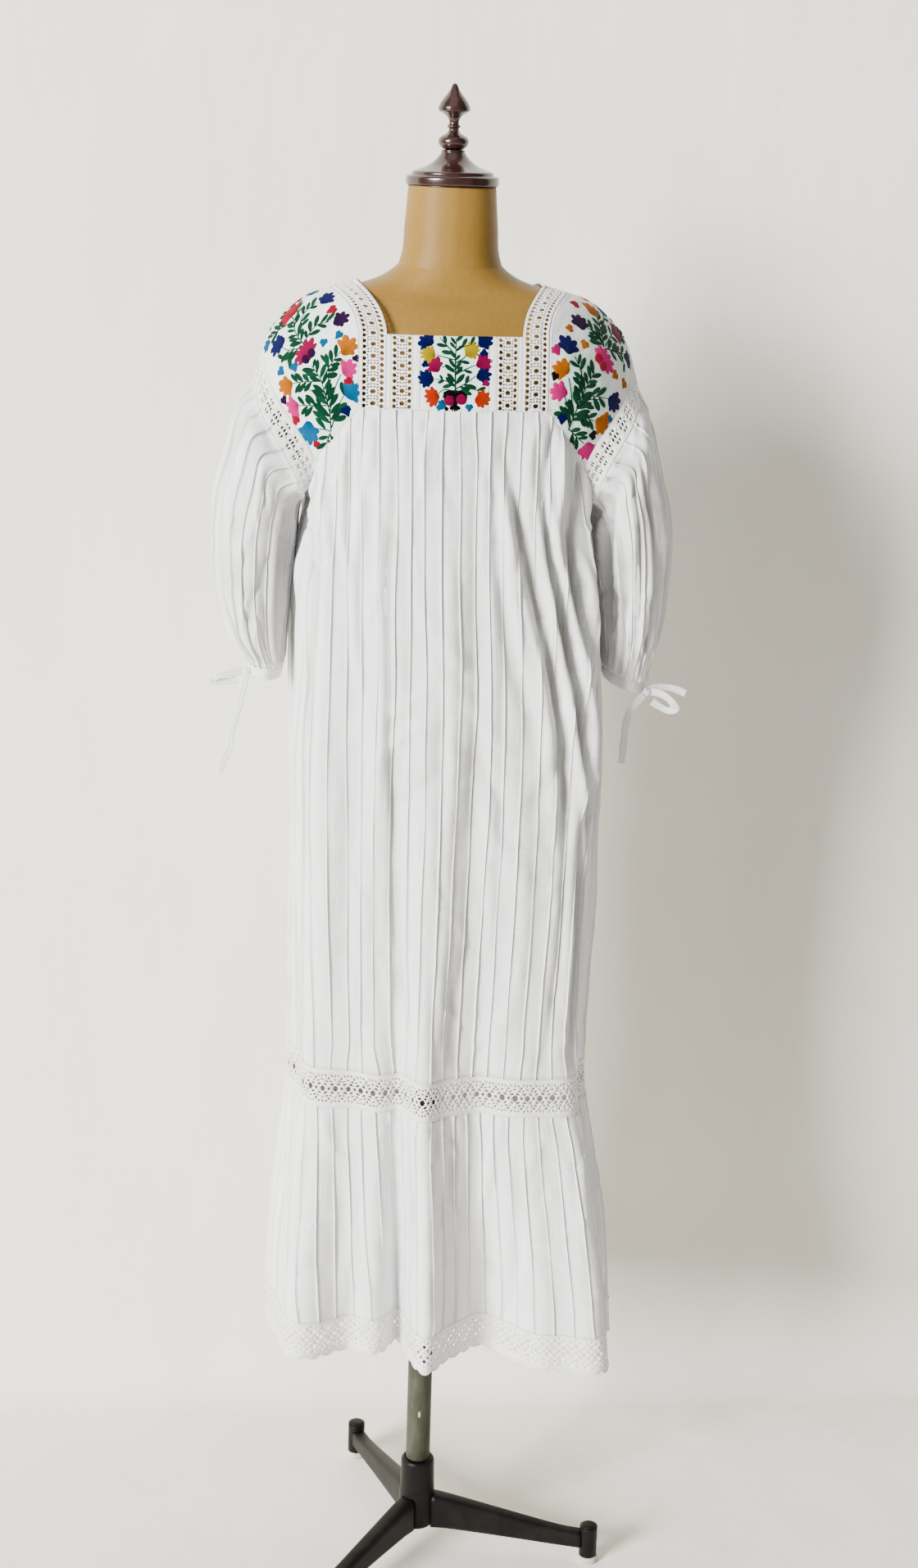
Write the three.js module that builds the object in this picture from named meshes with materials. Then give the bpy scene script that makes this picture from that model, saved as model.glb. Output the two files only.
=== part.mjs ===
// A pin-tucked cotton dress with lace insertions and embroidered shoulders, hanging on a
// limbless dress form that stands on a three-legged cast base. Millimetres, +Z up. The dress
// faces -Y, and its left and right are the viewer's.
import * as THREE from 'three';
import { mergeVertices } from 'three/addons/utils/BufferGeometryUtils.js';

// ---- Driving dimensions -------------------------------------------------------------------
// The pole's axis stands this far from the middle of the whole part's box.
const POLE = { x: -12.3, y: -18.9 };

const CLOTH = 1.6;
const LACE = 1.4;
const SEAM = 0.3;
const TUCK = { rise: 1.3, place: 0.3 };
const COUNT = { bodyTucks: 28, flounceTucks: 32, sleeveTucks: 20, laceRepeats: 36, hemRepeats: 40 };

// Heights of the level seams, at the middle of the dress.
const LEVEL = { yoke: 1441, laceTop: 679, laceBottom: 633, hemLace: 362, hem: 316 };
// The lower seams fall this much for each millimetre toward the right.
const TILT = 0.045;

// The hanging cloth's plan at each height: half width, depth in front and behind, how far its
// middle leans to the right, and how square its corners are.
const BODY = [
  { at: 300, side: 203, front: 100, back: 118, lean: 19, square: 2.6 },
  { at: 430, side: 198, front: 104, back: 116, lean: 16, square: 2.6 },
  { at: 560, side: 184, front: 108, back: 112, lean: 11, square: 2.6 },
  { at: 660, side: 174, front: 112, back: 110, lean: 7, square: 2.6 },
  { at: 850, side: 177, front: 116, back: 111, lean: 6, square: 2.6 },
  { at: 1050, side: 180, front: 119, back: 114, lean: 6, square: 2.5 },
  { at: 1150, side: 175, front: 121, back: 114, lean: 5, square: 2.5 },
  { at: 1250, side: 167, front: 122, back: 111, lean: 1, square: 2.5 },
  { at: 1330, side: 156, front: 121, back: 107, lean: 0, square: 2.6 },
  { at: 1445, side: 154, front: 118, back: 108, lean: 0, square: 2.6 },
];

// The large folds: place round the plan in hundredths from the front's middle (+ to the right),
// half width in hundredths, and how far each stands out at chest, waist, lace and hem.
const FOLD_HEIGHTS = [1440, 1330, 1050, 660, 318];
const FOLDS = [
  { place: -46, width: 3.0, reach: [0, 2, 6, 10, 22] },
  { place: -40.5, width: 2.4, reach: [0, -2, -6, -10, -22] },
  { place: -34, width: 3.4, reach: [0, 5, 9, 13, 24] },
  { place: -28.5, width: 1.8, reach: [0, -2, -5, -8, -14] },
  { place: -24.5, width: 2.4, reach: [0, -4, -9, 2, 8] },
  { place: -20, width: 1.8, reach: [0, -3, -6, -5, 4] },
  { place: -15.4, width: 2.9, reach: [0, 6, 11, 14, 42] },
  { place: -11, width: 1.8, reach: [0, -2, -3, -3, -10] },
  { place: -7.8, width: 2.0, reach: [0, 1, 2, 2, 4] },
  { place: -5.2, width: 1.5, reach: [0, 0, -2, -14, -46] },
  { place: -2.3, width: 2.1, reach: [0, 0, 4, 21, 42] },
  { place: 4.6, width: 2.5, reach: [0, -1, -3, -12, -32] },
  { place: 10.6, width: 2.4, reach: [0, 2, 4, 5, 30] },
  { place: 15.4, width: 3.0, reach: [0, 6, 12, 18, 62] },
  { place: 19.6, width: 1.5, reach: [0, -5, -8, -6, -14] },
  { place: 22.6, width: 1.4, reach: [0, 3, 4, 5, 12] },
  { place: 26, width: 2.2, reach: [0, -4, -7, -6, -12] },
  { place: 32, width: 3.2, reach: [0, 5, 9, 12, 26] },
  { place: 38, width: 2.4, reach: [0, -2, -6, -9, -20] },
  { place: 43, width: 2.4, reach: [0, 2, 6, 9, 18] },
];

// The yoke's fall from its lower front edge over the shoulder to its lower back edge.
const YOKE_FALL = [
  { at: 0, y: -118, z: LEVEL.yoke },
  { at: 1, y: -115, z: 1467 },
  { at: 2, y: -110, z: 1493 },
  { at: 3, y: -102, z: 1518 },
  { at: 4, y: -72, z: 1547 },
  { at: 5, y: -34, z: 1563.6 },
  { at: 6, y: 4, z: 1566.5 },
  { at: 7, y: 40, z: 1563.6 },
  { at: 8, y: 74, z: 1547 },
  { at: 9, y: 97, z: 1520 },
  { at: 10, y: 104, z: 1494 },
  { at: 11, y: 107, z: 1467 },
  { at: 12, y: 108, z: LEVEL.yoke },
];
const YOKE_STEPS = 12;
const NECKLINE_STEP = 3;
// Half widths in the yoke, at its lower edge and on top of the shoulder.
const LANE = {
  middle: { low: 36.5, top: 36.5 },
  strip: { low: 45, top: 45 },
  shortLace: { low: 67.5, top: 67.5 },
  strapInner: { low: 72.5, top: 101 },
  strapOuter: { low: 101, top: 127.5 },
};
const SHOULDER_SLOPE = 0.3;
const SHOULDER_CROWN = [
  { at: 0, crown: 4 }, { at: 3, crown: 9 }, { at: 6, crown: 15 }, { at: 9, crown: 9 }, { at: 12, crown: 4 },
];

// Half of each edge of the armhole lace, from the underarm round the front to the shoulder.
const ARMHOLE_BODY_EDGE = [
  { at: 0, x: 151.5, y: 0, z: 1326 },
  { at: 1, x: 142.5, y: -66, z: 1360 },
  { at: 2, x: 153.5, y: -80, z: 1397 },
  { at: 3, x: 190, y: -52, z: 1449 },
  { at: 4, x: 204.5, y: 0, z: 1487 },
];
const ARMHOLE_SLEEVE_EDGE = [
  { at: 0, x: 162, y: 0, z: 1326 },
  { at: 1, x: 160, y: -70, z: 1344 },
  { at: 2, x: 173.5, y: -86, z: 1380 },
  { at: 3, x: 203, y: -58, z: 1428 },
  { at: 4, x: 212, y: 0, z: 1461 },
];
const UNDERARM_RISE = 7;
// The armhole column where the shoulder panel's lower tip lies, counted from the underarm.
const TIP = 4;

// Each sleeve row's outermost and innermost point and its half depth.
const SLEEVES = {
  left: [
    { outer: 231, outerZ: 1432, inner: 164, innerZ: 1314, deep: 91 },
    { outer: 246, outerZ: 1382, inner: 165, innerZ: 1300, deep: 92 },
    { outer: 258, outerZ: 1335, inner: 166, innerZ: 1282, deep: 90 },
    { outer: 260.5, outerZ: 1282, inner: 168, innerZ: 1256, deep: 85 },
    { outer: 256, outerZ: 1230, inner: 172, innerZ: 1220, deep: 77 },
    { outer: 242, outerZ: 1180, inner: 176, innerZ: 1178, deep: 64 },
    { outer: 218, outerZ: 1145, inner: 178, innerZ: 1142, deep: 46 },
  ],
  right: [
    { outer: 226, outerZ: 1432, inner: 164, innerZ: 1314, deep: 91 },
    { outer: 238, outerZ: 1388, inner: 165, innerZ: 1300, deep: 92 },
    { outer: 251, outerZ: 1335, inner: 167, innerZ: 1282, deep: 90 },
    { outer: 255.5, outerZ: 1282, inner: 171, innerZ: 1256, deep: 85 },
    { outer: 254, outerZ: 1230, inner: 177, innerZ: 1220, deep: 78 },
    { outer: 249, outerZ: 1172, inner: 183, innerZ: 1180, deep: 66 },
    { outer: 238, outerZ: 1128, inner: 187, innerZ: 1142, deep: 48 },
  ],
};
const CUFF = { height: 14, pinch: 2 };

const TIE = { thick: 1.6, knot: 9 };
const TIES = {
  left: {
    knot: { x: -219.2, y: -27.1, z: 1136 },
    tapes: [
      { name: 'tie_loop_left', width: 9, route: [[-224.1, -28, 1136], [-237, -31, 1135], [-249, -33, 1132],
        [-257.5, -31, 1127.5], [-251, -28.5, 1124], [-239, -27, 1124], [-230, -26.5, 1126]] },
      { name: 'tie_tail_left', width: 8, route: [[-219.5, -27.5, 1131.1], [-222, -30.5, 1118],
        [-226, -32, 1100], [-230, -32, 1084], [-236, -31, 1064], [-236, -30, 1052], [-243, -31, 1036],
        [-249, -32, 1019]] },
    ],
  },
  right: {
    knot: { x: 233.4, y: -37.3, z: 1119 },
    tapes: [
      { name: 'tie_loop_right', width: 9, route: [[238.2, -37.8, 1119.5], [251, -40, 1117],
        [262, -41, 1109], [268, -39, 1099.5], [260, -36.5, 1097], [249, -35.5, 1102], [241, -35, 1107]] },
      { name: 'tie_end_right', width: 9, route: [[236.7, -34, 1120.6], [250, -31, 1123],
        [266, -29, 1121], [280.5, -28, 1115]] },
      { name: 'tie_tail_right', width: 9, route: [[230.9, -39.8, 1115.5], [223, -42, 1108.5],
        [215, -42.5, 1097], [211, -42, 1079], [210, -41, 1058], [208, -41, 1036]] },
    ],
  },
};

// The form: half width, depths in front and behind at each height, up to the top of the neck.
const FORM = [
  { at: 930, side: 148, front: 88, back: 104 },
  { at: 980, side: 152, front: 90, back: 106 },
  { at: 1060, side: 138, front: 82, back: 94 },
  { at: 1150, side: 116, front: 76, back: 80 },
  { at: 1240, side: 128, front: 92, back: 86 },
  { at: 1310, side: 140, front: 107, back: 92 },
  { at: 1350, side: 146, front: 108, back: 94 },
  { at: 1400, side: 158, front: 107, back: 96 },
  { at: 1450, side: 171, front: 106, back: 97 },
  { at: 1490, side: 173, front: 101, back: 94 },
  { at: 1515, side: 163, front: 91, back: 87 },
  { at: 1538, side: 144, front: 75, back: 73 },
  { at: 1557, side: 127, front: 55, back: 57.5 },
  { at: 1564.4, side: 97, front: 54, back: 57 },
  { at: 1573, side: 74, front: 54, back: 57 },
  { at: 1588, side: 56, front: 52, back: 55 },
  { at: 1630, side: 50.5, front: 49, back: 52 },
  { at: 1669, side: 47.5, front: 47, back: 50 },
];
const FORM_SIDES = 28;
const FORM_SQUARE = 2.2;

// Turned profiles of the neck cap and the finial: radius at each height above the cap's foot.
const CAP_FOOT = 1669.3;
const CAP_PROFILE = [[48.5, 0], [50.5, 3], [50.5, 9], [43.5, 15], [32, 18.5], [22, 24], [15, 31], [12, 37.5]];
const FINIAL_PROFILE = [[9, 37.8], [15.6, 43], [16.4, 47], [11, 53], [5.4, 56.5], [7, 61], [5.3, 65], [8, 72],
  [16.6, 77.5], [16.8, 81], [13, 90], [6.5, 96.5], [3.6, 101.5], [0, 106.5]];
const TURNED_SIDES = 20;

const POLE_RADIUS = 15;
const POLE_TOP = 929.5;
const HUB = { bottom: 30.6, top: 122.9, radius: 22.5, neck: 21 };
const LEG = { reach: 218.2, root: { z: 50.5, high: 45, wide: 24 }, tip: { z: 29, high: 21, wide: 18 } };
const FOOT = { radius: 11, top: 51, bottom: 8, padRadius: 13, padTop: 7.7 };
// Directions of the three legs, in degrees from +X.
const LEG_TURNS = [-12, 108, 231];

// ---- Helpers ------------------------------------------------------------------------------
const clamp = (value, low, high) => Math.min(Math.max(value, low), high);
const mix = THREE.MathUtils.lerp;
const smooth = THREE.MathUtils.smoothstep;
const vec = (x, y, z) => new THREE.Vector3(x, y, z);

// A smooth reading of a table whose first column, "at", rises from row to row.
function readTable(table, at) {
  const last = table.length - 1;
  let low = 0;
  while (low < last - 1 && table[low + 1].at < at) low += 1;
  const span = table[low + 1].at - table[low].at;
  const t = clamp((at - table[low].at) / span, 0, 1);
  const slope = (key, row) => {
    const before = table[Math.max(row - 1, 0)];
    const after = table[Math.min(row + 1, last)];
    return (after[key] - before[key]) / (after.at - before.at);
  };
  const found = {};
  for (const key of Object.keys(table[0])) {
    const rise = slope(key, low) * span;
    const fall = slope(key, low + 1) * span;
    const a = table[low][key];
    const b = table[low + 1][key];
    found[key] = (2 * t ** 3 - 3 * t ** 2 + 1) * a + (t ** 3 - 2 * t ** 2 + t) * rise
      + (3 * t ** 2 - 2 * t ** 3) * b + (t ** 3 - t ** 2) * fall;
  }
  return found;
}

const group = new THREE.Group();
group.position.set(POLE.x, POLE.y, 0);

const MATERIAL = {
  cotton: { color: 0xf1f1ef, roughness: 0.85, metalness: 0 },
  lace: { color: 0xf4f3ee, roughness: 0.9, metalness: 0 },
  form: { color: 0xb08a5c, roughness: 0.75, metalness: 0 },
  turnedWood: { color: 0x2a1712, roughness: 0.25, metalness: 0 },
  pole: { color: 0x6a6c60, roughness: 0.5, metalness: 0.5 },
  castIron: { color: 0x1d1b1c, roughness: 0.45, metalness: 0.6 },
  pad: { color: 0xc9c7bf, roughness: 0.8, metalness: 0 },
};

function addPiece(name, geometry, look) {
  const mesh = new THREE.Mesh(geometry, new THREE.MeshStandardMaterial(MATERIAL[look]));
  mesh.name = name;
  group.add(mesh);
  return mesh;
}

// A closed mesh from a list of points and faces of three points.
function solid(points, faces) {
  const geometry = new THREE.BufferGeometry();
  geometry.setAttribute('position', new THREE.Float32BufferAttribute(points.flatMap((p) => [p.x, p.y, p.z]), 3));
  geometry.setIndex(faces.flat());
  geometry.computeVertexNormals();
  return geometry;
}

// ---- Cloth walls --------------------------------------------------------------------------
// A wall is built from a grid of cells {point, normal}: rows run down the cloth and columns run
// to the right, both as seen from outside. A ring's last column joins its first.
function insetGrid(grid, ring) {
  const rows = grid.length;
  const columns = grid[0].length;
  const toward = (cell, inner) => inner.point.clone().sub(cell.point).setLength(SEAM / 2);
  return grid.map((row, r) => row.map((cell, c) => {
    const point = cell.point.clone();
    if (r === 0) point.add(toward(cell, grid[1][c]));
    if (r === rows - 1) point.add(toward(cell, grid[rows - 2][c]));
    if (!ring && c === 0) point.add(toward(cell, row[1]));
    if (!ring && c === columns - 1) point.add(toward(cell, row[columns - 2]));
    return { point, normal: cell.normal };
  }));
}

// The outer face carries a raised tuck between each two columns; the inner face is plain.
function clothWall(rawGrid, { ring = false, tucks = false, thick = CLOTH } = {}) {
  const grid = insetGrid(rawGrid, ring);
  const rows = grid.length;
  const cells = ring ? grid[0].length : grid[0].length - 1;
  const step = tucks ? 2 : 1;
  const outerWidth = ring ? cells * step : cells * step + 1;
  const innerWidth = ring ? cells : cells + 1;
  const points = [];
  for (const row of grid) {
    for (let c = 0; c < innerWidth; c += 1) {
      points.push(row[c].point.clone().addScaledVector(row[c].normal, thick / 2));
      if (!tucks || c === cells) continue;
      const next = row[(c + 1) % row.length];
      const crest = row[c].point.clone().lerp(next.point, TUCK.place);
      const lift = row[c].normal.clone().lerp(next.normal, TUCK.place).normalize();
      points.push(crest.addScaledVector(lift, thick / 2 + TUCK.rise));
    }
  }
  const innerStart = points.length;
  for (const row of grid) {
    for (const cell of row) points.push(cell.point.clone().addScaledVector(cell.normal, -thick / 2));
  }
  const outer = (r, c) => r * outerWidth + (ring ? c % outerWidth : c);
  const inner = (r, c) => innerStart + r * innerWidth + (ring ? c % innerWidth : c);
  const faces = [];
  const quad = (a, b, c, d) => faces.push([a, b, c], [a, c, d]);
  for (let r = 0; r < rows - 1; r += 1) {
    for (let c = 0; c < cells * step; c += 1) {
      quad(outer(r, c), outer(r + 1, c), outer(r + 1, c + 1), outer(r, c + 1));
    }
    for (let c = 0; c < cells; c += 1) {
      quad(inner(r, c), inner(r, c + 1), inner(r + 1, c + 1), inner(r + 1, c));
    }
    if (!ring) {
      quad(outer(r, 0), inner(r, 0), inner(r + 1, 0), outer(r + 1, 0));
      quad(outer(r, cells * step), outer(r + 1, cells * step), inner(r + 1, cells), inner(r, cells));
    }
  }
  for (const r of [0, rows - 1]) {
    const flip = r === 0;
    const rim = (a, b, c) => faces.push(flip ? [a, b, c] : [a, c, b]);
    for (let c = 0; c < cells; c += 1) {
      const o = c * step;
      if (tucks) {
        rim(outer(r, o), outer(r, o + 1), inner(r, c));
        rim(outer(r, o + 1), inner(r, c + 1), inner(r, c));
        rim(outer(r, o + 1), outer(r, o + 2), inner(r, c + 1));
      } else {
        rim(outer(r, o), outer(r, o + 1), inner(r, c + 1));
        rim(outer(r, o), inner(r, c + 1), inner(r, c));
      }
    }
  }
  return solid(points, faces);
}

// A strip of lace with one diamond cut through each repeat, and a scalloped lower edge if asked.
function laceWall(rawGrid, { gap, gapPlace, scallop = 0 }) {
  const grid = insetGrid(rawGrid, false);
  const cells = grid[0].length - 1;
  const points = [];
  const faces = [];
  const sides = [1, -1].map((side) => {
    const start = points.length;
    const place = (top, bottom, down) => {
      const point = top.point.clone().lerp(bottom.point, down);
      return point.addScaledVector(top.normal, side * LACE / 2);
    };
    const width = cells + 1;
    for (const down of [0, 1]) {
      for (let c = 0; c < width; c += 1) points.push(place(grid[0][c], grid[1][c], down));
    }
    const holes = points.length;
    for (let c = 0; c < cells; c += 1) {
      const top = grid[0][c].point.clone().lerp(grid[0][c + 1].point, 0.5);
      const bottom = grid[1][c].point.clone().lerp(grid[1][c + 1].point, 0.5);
      const normal = grid[0][c].normal.clone().add(grid[0][c + 1].normal).normalize();
      const across = grid[0][c + 1].point.clone().sub(grid[0][c].point).normalize();
      const fall = bottom.clone().sub(top).normalize();
      const middle = top.clone().lerp(bottom, gapPlace).addScaledVector(normal, side * LACE / 2);
      points.push(middle.clone().addScaledVector(fall, -gap.high / 2));
      points.push(middle.clone().addScaledVector(across, gap.wide / 2));
      points.push(middle.clone().addScaledVector(fall, gap.high / 2));
      points.push(middle.clone().addScaledVector(across, -gap.wide / 2));
      const tip = bottom.clone().addScaledVector(normal, side * LACE / 2);
      points.push(tip.addScaledVector(fall, scallop));
    }
    return {
      top: (c) => start + c,
      bottom: (c) => start + width + c,
      hole: (c, k) => holes + c * 5 + (k % 4),
      scallopTip: (c) => holes + c * 5 + 4,
    };
  });
  const [out, inn] = sides;
  for (let c = 0; c < cells; c += 1) {
    for (const face of sides) {
      const add = (...corners) => faces.push(face === out ? corners : corners.reverse());
      const [up, right, down, left] = [0, 1, 2, 3].map((k) => face.hole(c, k));
      const tip = face.scallopTip(c);
      add(face.top(c), left, up);
      add(face.top(c), face.bottom(c), left);
      add(face.bottom(c), down, left);
      add(face.bottom(c), tip, down);
      add(tip, face.bottom(c + 1), down);
      add(face.bottom(c + 1), right, down);
      add(face.bottom(c + 1), face.top(c + 1), right);
      add(face.top(c + 1), up, right);
      add(face.top(c + 1), face.top(c), up);
    }
    for (let k = 0; k < 4; k += 1) {
      faces.push([out.hole(c, k + 1), out.hole(c, k), inn.hole(c, k)]);
      faces.push([out.hole(c, k + 1), inn.hole(c, k), inn.hole(c, k + 1)]);
    }
    const edge = (a, b, c2, d) => faces.push([a, b, c2], [a, c2, d]);
    edge(out.top(c), out.top(c + 1), inn.top(c + 1), inn.top(c));
    edge(out.bottom(c), inn.bottom(c), inn.scallopTip(c), out.scallopTip(c));
    edge(out.scallopTip(c), inn.scallopTip(c), inn.bottom(c + 1), out.bottom(c + 1));
  }
  for (const [c, flip] of [[0, false], [cells, true]]) {
    const corners = [out.top(c), inn.top(c), inn.bottom(c), out.bottom(c)];
    if (flip) corners.reverse();
    faces.push([corners[0], corners[1], corners[2]], [corners[0], corners[2], corners[3]]);
  }
  return solid(points, faces);
}

// ---- The hanging cloth's plan -------------------------------------------------------------
const RING_POINTS = 480;
const ringCache = new Map();

// The closed plan at one height, with its folds, as points in order from the middle of the back
// round the left side, the front and the right side.
function ringAt(height) {
  if (ringCache.has(height)) return ringCache.get(height);
  const plan = readTable(BODY, clamp(height, BODY[0].at, BODY[BODY.length - 1].at));
  const base = [];
  const round = (value) => Math.sign(value) * Math.abs(value) ** (2 / plan.square);
  for (let i = 0; i < RING_POINTS; i += 1) {
    const turn = (i / RING_POINTS) * 2 * Math.PI - Math.PI;
    const deep = Math.cos(turn) > 0 ? plan.front : plan.back;
    base.push(vec(plan.lean + plan.side * round(Math.sin(turn)), -deep * round(Math.cos(turn)), 0));
  }
  const even = evenPoints(base, RING_POINTS);
  const folded = even.map((point, i) => {
    const share = (i / RING_POINTS) * 100 - 50;
    return point.clone().addScaledVector(planNormal(even, i), foldReach(share, height));
  });
  const ring = evenSides(folded);
  ringCache.set(height, ring);
  return ring;
}

function foldReach(share, height) {
  let level = 0;
  while (level < FOLD_HEIGHTS.length - 2 && height < FOLD_HEIGHTS[level + 1]) level += 1;
  const t = clamp((FOLD_HEIGHTS[level] - height) / (FOLD_HEIGHTS[level] - FOLD_HEIGHTS[level + 1]), 0, 1.1);
  let total = 0;
  for (const fold of FOLDS) {
    const reach = mix(fold.reach[level], fold.reach[level + 1], t);
    const off = ((share - fold.place + 150) % 100) - 50;
    total += reach * Math.exp(-((off / fold.width) ** 2));
  }
  return total;
}

function planNormal(points, i) {
  const count = points.length;
  const ahead = points[(i + 2) % count].clone().sub(points[(i + count - 2) % count]);
  return vec(ahead.y, -ahead.x, 0).normalize();
}

// The same closed line with its points at even distances.
function evenPoints(points, count) {
  const line = [...points, points[0]];
  const lengths = [0];
  for (let i = 1; i < line.length; i += 1) lengths.push(lengths[i - 1] + line[i].distanceTo(line[i - 1]));
  const total = lengths[lengths.length - 1];
  const even = [];
  let k = 0;
  for (let i = 0; i < count; i += 1) {
    const want = (total * i) / count;
    while (lengths[k + 1] < want) k += 1;
    even.push(line[k].clone().lerp(line[k + 1], (want - lengths[k]) / (lengths[k + 1] - lengths[k])));
  }
  return even;
}

// Each half between the side seams, spread evenly over the cloth: the front runs from the left
// side seam to the right one and the back goes on from there.
function evenSides(points) {
  const quarter = RING_POINTS / 4;
  const half = RING_POINTS / 2;
  const spread = (start) => {
    const line = [];
    for (let i = 0; i <= half; i += 1) line.push(points[(start + i) % RING_POINTS]);
    const lengths = [0];
    for (let i = 1; i < line.length; i += 1) lengths.push(lengths[i - 1] + line[i].distanceTo(line[i - 1]));
    return { line, lengths };
  };
  return { front: spread(quarter), back: spread(quarter + half) };
}

// One cell of the hanging cloth: share runs from 0 to 1 across the front or the back.
function hangingCell(side, share, height) {
  const { line, lengths } = ringAt(height)[side];
  const total = lengths[lengths.length - 1];
  const locate = (part) => {
    const want = clamp(part, 0, 1) * total;
    let k = 0;
    while (k < lengths.length - 2 && lengths[k + 1] < want) k += 1;
    return line[k].clone().lerp(line[k + 1], (want - lengths[k]) / (lengths[k + 1] - lengths[k]));
  };
  const point = locate(share);
  const reach = 0.012;
  const ahead = locate(share + reach).sub(locate(share - reach));
  point.z = height - TILT * point.x * (1 - smooth(height, 700, 1250));
  return { point, normal: vec(ahead.y, -ahead.x, 0).normalize() };
}

function hangingGrid(side, columns, heights) {
  return heights.map((height) => {
    const row = [];
    for (let c = 0; c <= columns; c += 1) row.push(hangingCell(side, c / columns, height));
    return row;
  });
}

// ---- Yoke and shoulders -------------------------------------------------------------------
// Outward direction anywhere on the yoke and the shoulders, the same for pieces that meet.
function outward(point) {
  const core = vec(clamp(point.x, -100, 100) * 0.85, 0, Math.min(point.z, 1440));
  return point.clone().sub(core).normalize();
}

function yokeCell(x, step) {
  const fall = readTable(YOKE_FALL, step);
  const onTop = Math.sin((Math.PI * step) / YOKE_STEPS) ** 2;
  const point = vec(x, fall.y * (1 - 0.1 * (x / 100) ** 2), fall.z);
  point.z -= Math.max(Math.abs(x) - 101, 0) * SHOULDER_SLOPE * onTop;
  return { point, normal: outward(point) };
}

function laneCell(lane, mirror, step) {
  const climb = smooth(step, NECKLINE_STEP, 5.6) * (1 - smooth(step, 6.4, YOKE_STEPS - NECKLINE_STEP));
  return yokeCell(mirror * mix(lane.low, lane.top, climb), step);
}

// The armhole's columns: 0 and 20 at the underarm, 10 on the shoulder, 1 to 9 in front.
function armholeCurve(table, column) {
  const half = COUNT.sleeveTucks / 2;
  const front = column <= half ? column : COUNT.sleeveTucks - column;
  const edge = readTable(table, (front / half) * (table.length - 1));
  return vec(edge.x, column <= half ? edge.y : -edge.y, edge.z);
}

function mirrorPoint(point, mirror) {
  return vec(point.x * mirror, point.y, point.z);
}

function bodyEdgeCell(mirror, column) {
  const point = mirrorPoint(armholeCurve(ARMHOLE_BODY_EDGE, column), mirror);
  return { point, normal: outward(point) };
}

// A shoulder panel's cell: across runs from the strap (0) to the armhole (1).
function shoulderCell(mirror, step, across) {
  const inner = laneCell(LANE.strapOuter, mirror, step).point;
  const outer = bodyEdgeCell(mirror, TIP + step).point;
  const point = inner.lerp(outer, across);
  const { crown } = readTable(SHOULDER_CROWN, step);
  point.addScaledVector(outward(point), crown * 4 * across * (1 - across));
  return { point, normal: outward(point) };
}

// ---- Body panels, insertion lace, flounce and hem lace ------------------------------------
const DIAGONAL = 4;

// The panel's upper edge: armhole, shoulder panel, yoke, shoulder panel, armhole.
function panelTop(side, column) {
  const columns = COUNT.bodyTucks;
  const mirror = (side === 'front') === (column < columns / 2) ? -1 : 1;
  const k = Math.min(column, columns - column);
  const behind = side === 'back';
  if (k <= TIP) return bodyEdgeCell(mirror, behind ? COUNT.sleeveTucks - k : k);
  if (k < TIP + DIAGONAL) {
    return shoulderCell(mirror, behind ? YOKE_STEPS : 0, 1 - (k - TIP) / DIAGONAL);
  }
  const edge = TIP + DIAGONAL;
  const x = LANE.strapOuter.low * (1 - (k - edge) / (columns / 2 - edge));
  return yokeCell(mirror * x, behind ? YOKE_STEPS : 0);
}

function bodyPanel(side) {
  const columns = COUNT.bodyTucks;
  const drops = [0, 0.035, 0.1, 0.2, 0.36, 0.58, 0.8, 1];
  const grid = drops.map((drop) => {
    const row = [];
    for (let c = 0; c <= columns; c += 1) {
      const top = panelTop(side, c);
      const height = mix(top.point.z, LEVEL.laceTop, drop);
      const hanging = hangingCell(side, c / columns, height);
      const hold = Math.exp(-(((top.point.z - height) / 120) ** 2));
      const start = hangingCell(side, c / columns, top.point.z);
      const pull = top.point.clone().sub(start.point);
      const point = hanging.point.clone().addScaledVector(pull, hold);
      const normal = hanging.normal.clone().lerp(top.normal, hold).normalize();
      row.push({ point, normal });
    }
    return row;
  });
  return clothWall(grid, { tucks: true });
}

for (const side of ['front', 'back']) {
  addPiece(`${side}_panel`, bodyPanel(side), 'cotton');
  const insertion = hangingGrid(side, COUNT.laceRepeats, [LEVEL.laceTop, LEVEL.laceBottom]);
  addPiece(`insertion_lace_${side}`,
    laceWall(insertion, { gap: { wide: 5, high: 5.6 }, gapPlace: 0.5 }), 'lace');
  const flounce = hangingGrid(side, COUNT.flounceTucks, [LEVEL.laceBottom, 560, 470, LEVEL.hemLace]);
  addPiece(`flounce_${side}`, clothWall(flounce, { tucks: true }), 'cotton');
  const hem = hangingGrid(side, COUNT.hemRepeats, [LEVEL.hemLace, LEVEL.hem + 4]);
  addPiece(`hem_lace_${side}`,
    laceWall(hem, { gap: { wide: 5.4, high: 5 }, gapPlace: 0.45, scallop: 4 }), 'lace');
}

// ---- Yoke pieces --------------------------------------------------------------------------
function flatLane(laneA, mirrorA, laneB, mirrorB, steps, across) {
  return steps.map((step) => {
    const row = [];
    for (let c = 0; c <= across; c += 1) {
      const a = laneCell(laneA, mirrorA, step).point.x;
      const b = laneCell(laneB, mirrorB, step).point.x;
      row.push(yokeCell(mix(a, b, c / across), step));
    }
    return row;
  });
}

// Puts rows top to bottom and columns left to right as seen from outside, for any grid.
function facingOut(grid) {
  const across = grid[0][1].point.clone().sub(grid[0][0].point);
  const down = grid[1][0].point.clone().sub(grid[0][0].point);
  const out = down.cross(across);
  return out.dot(grid[0][0].normal) > 0 ? grid : grid.map((row) => [...row].reverse());
}

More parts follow.
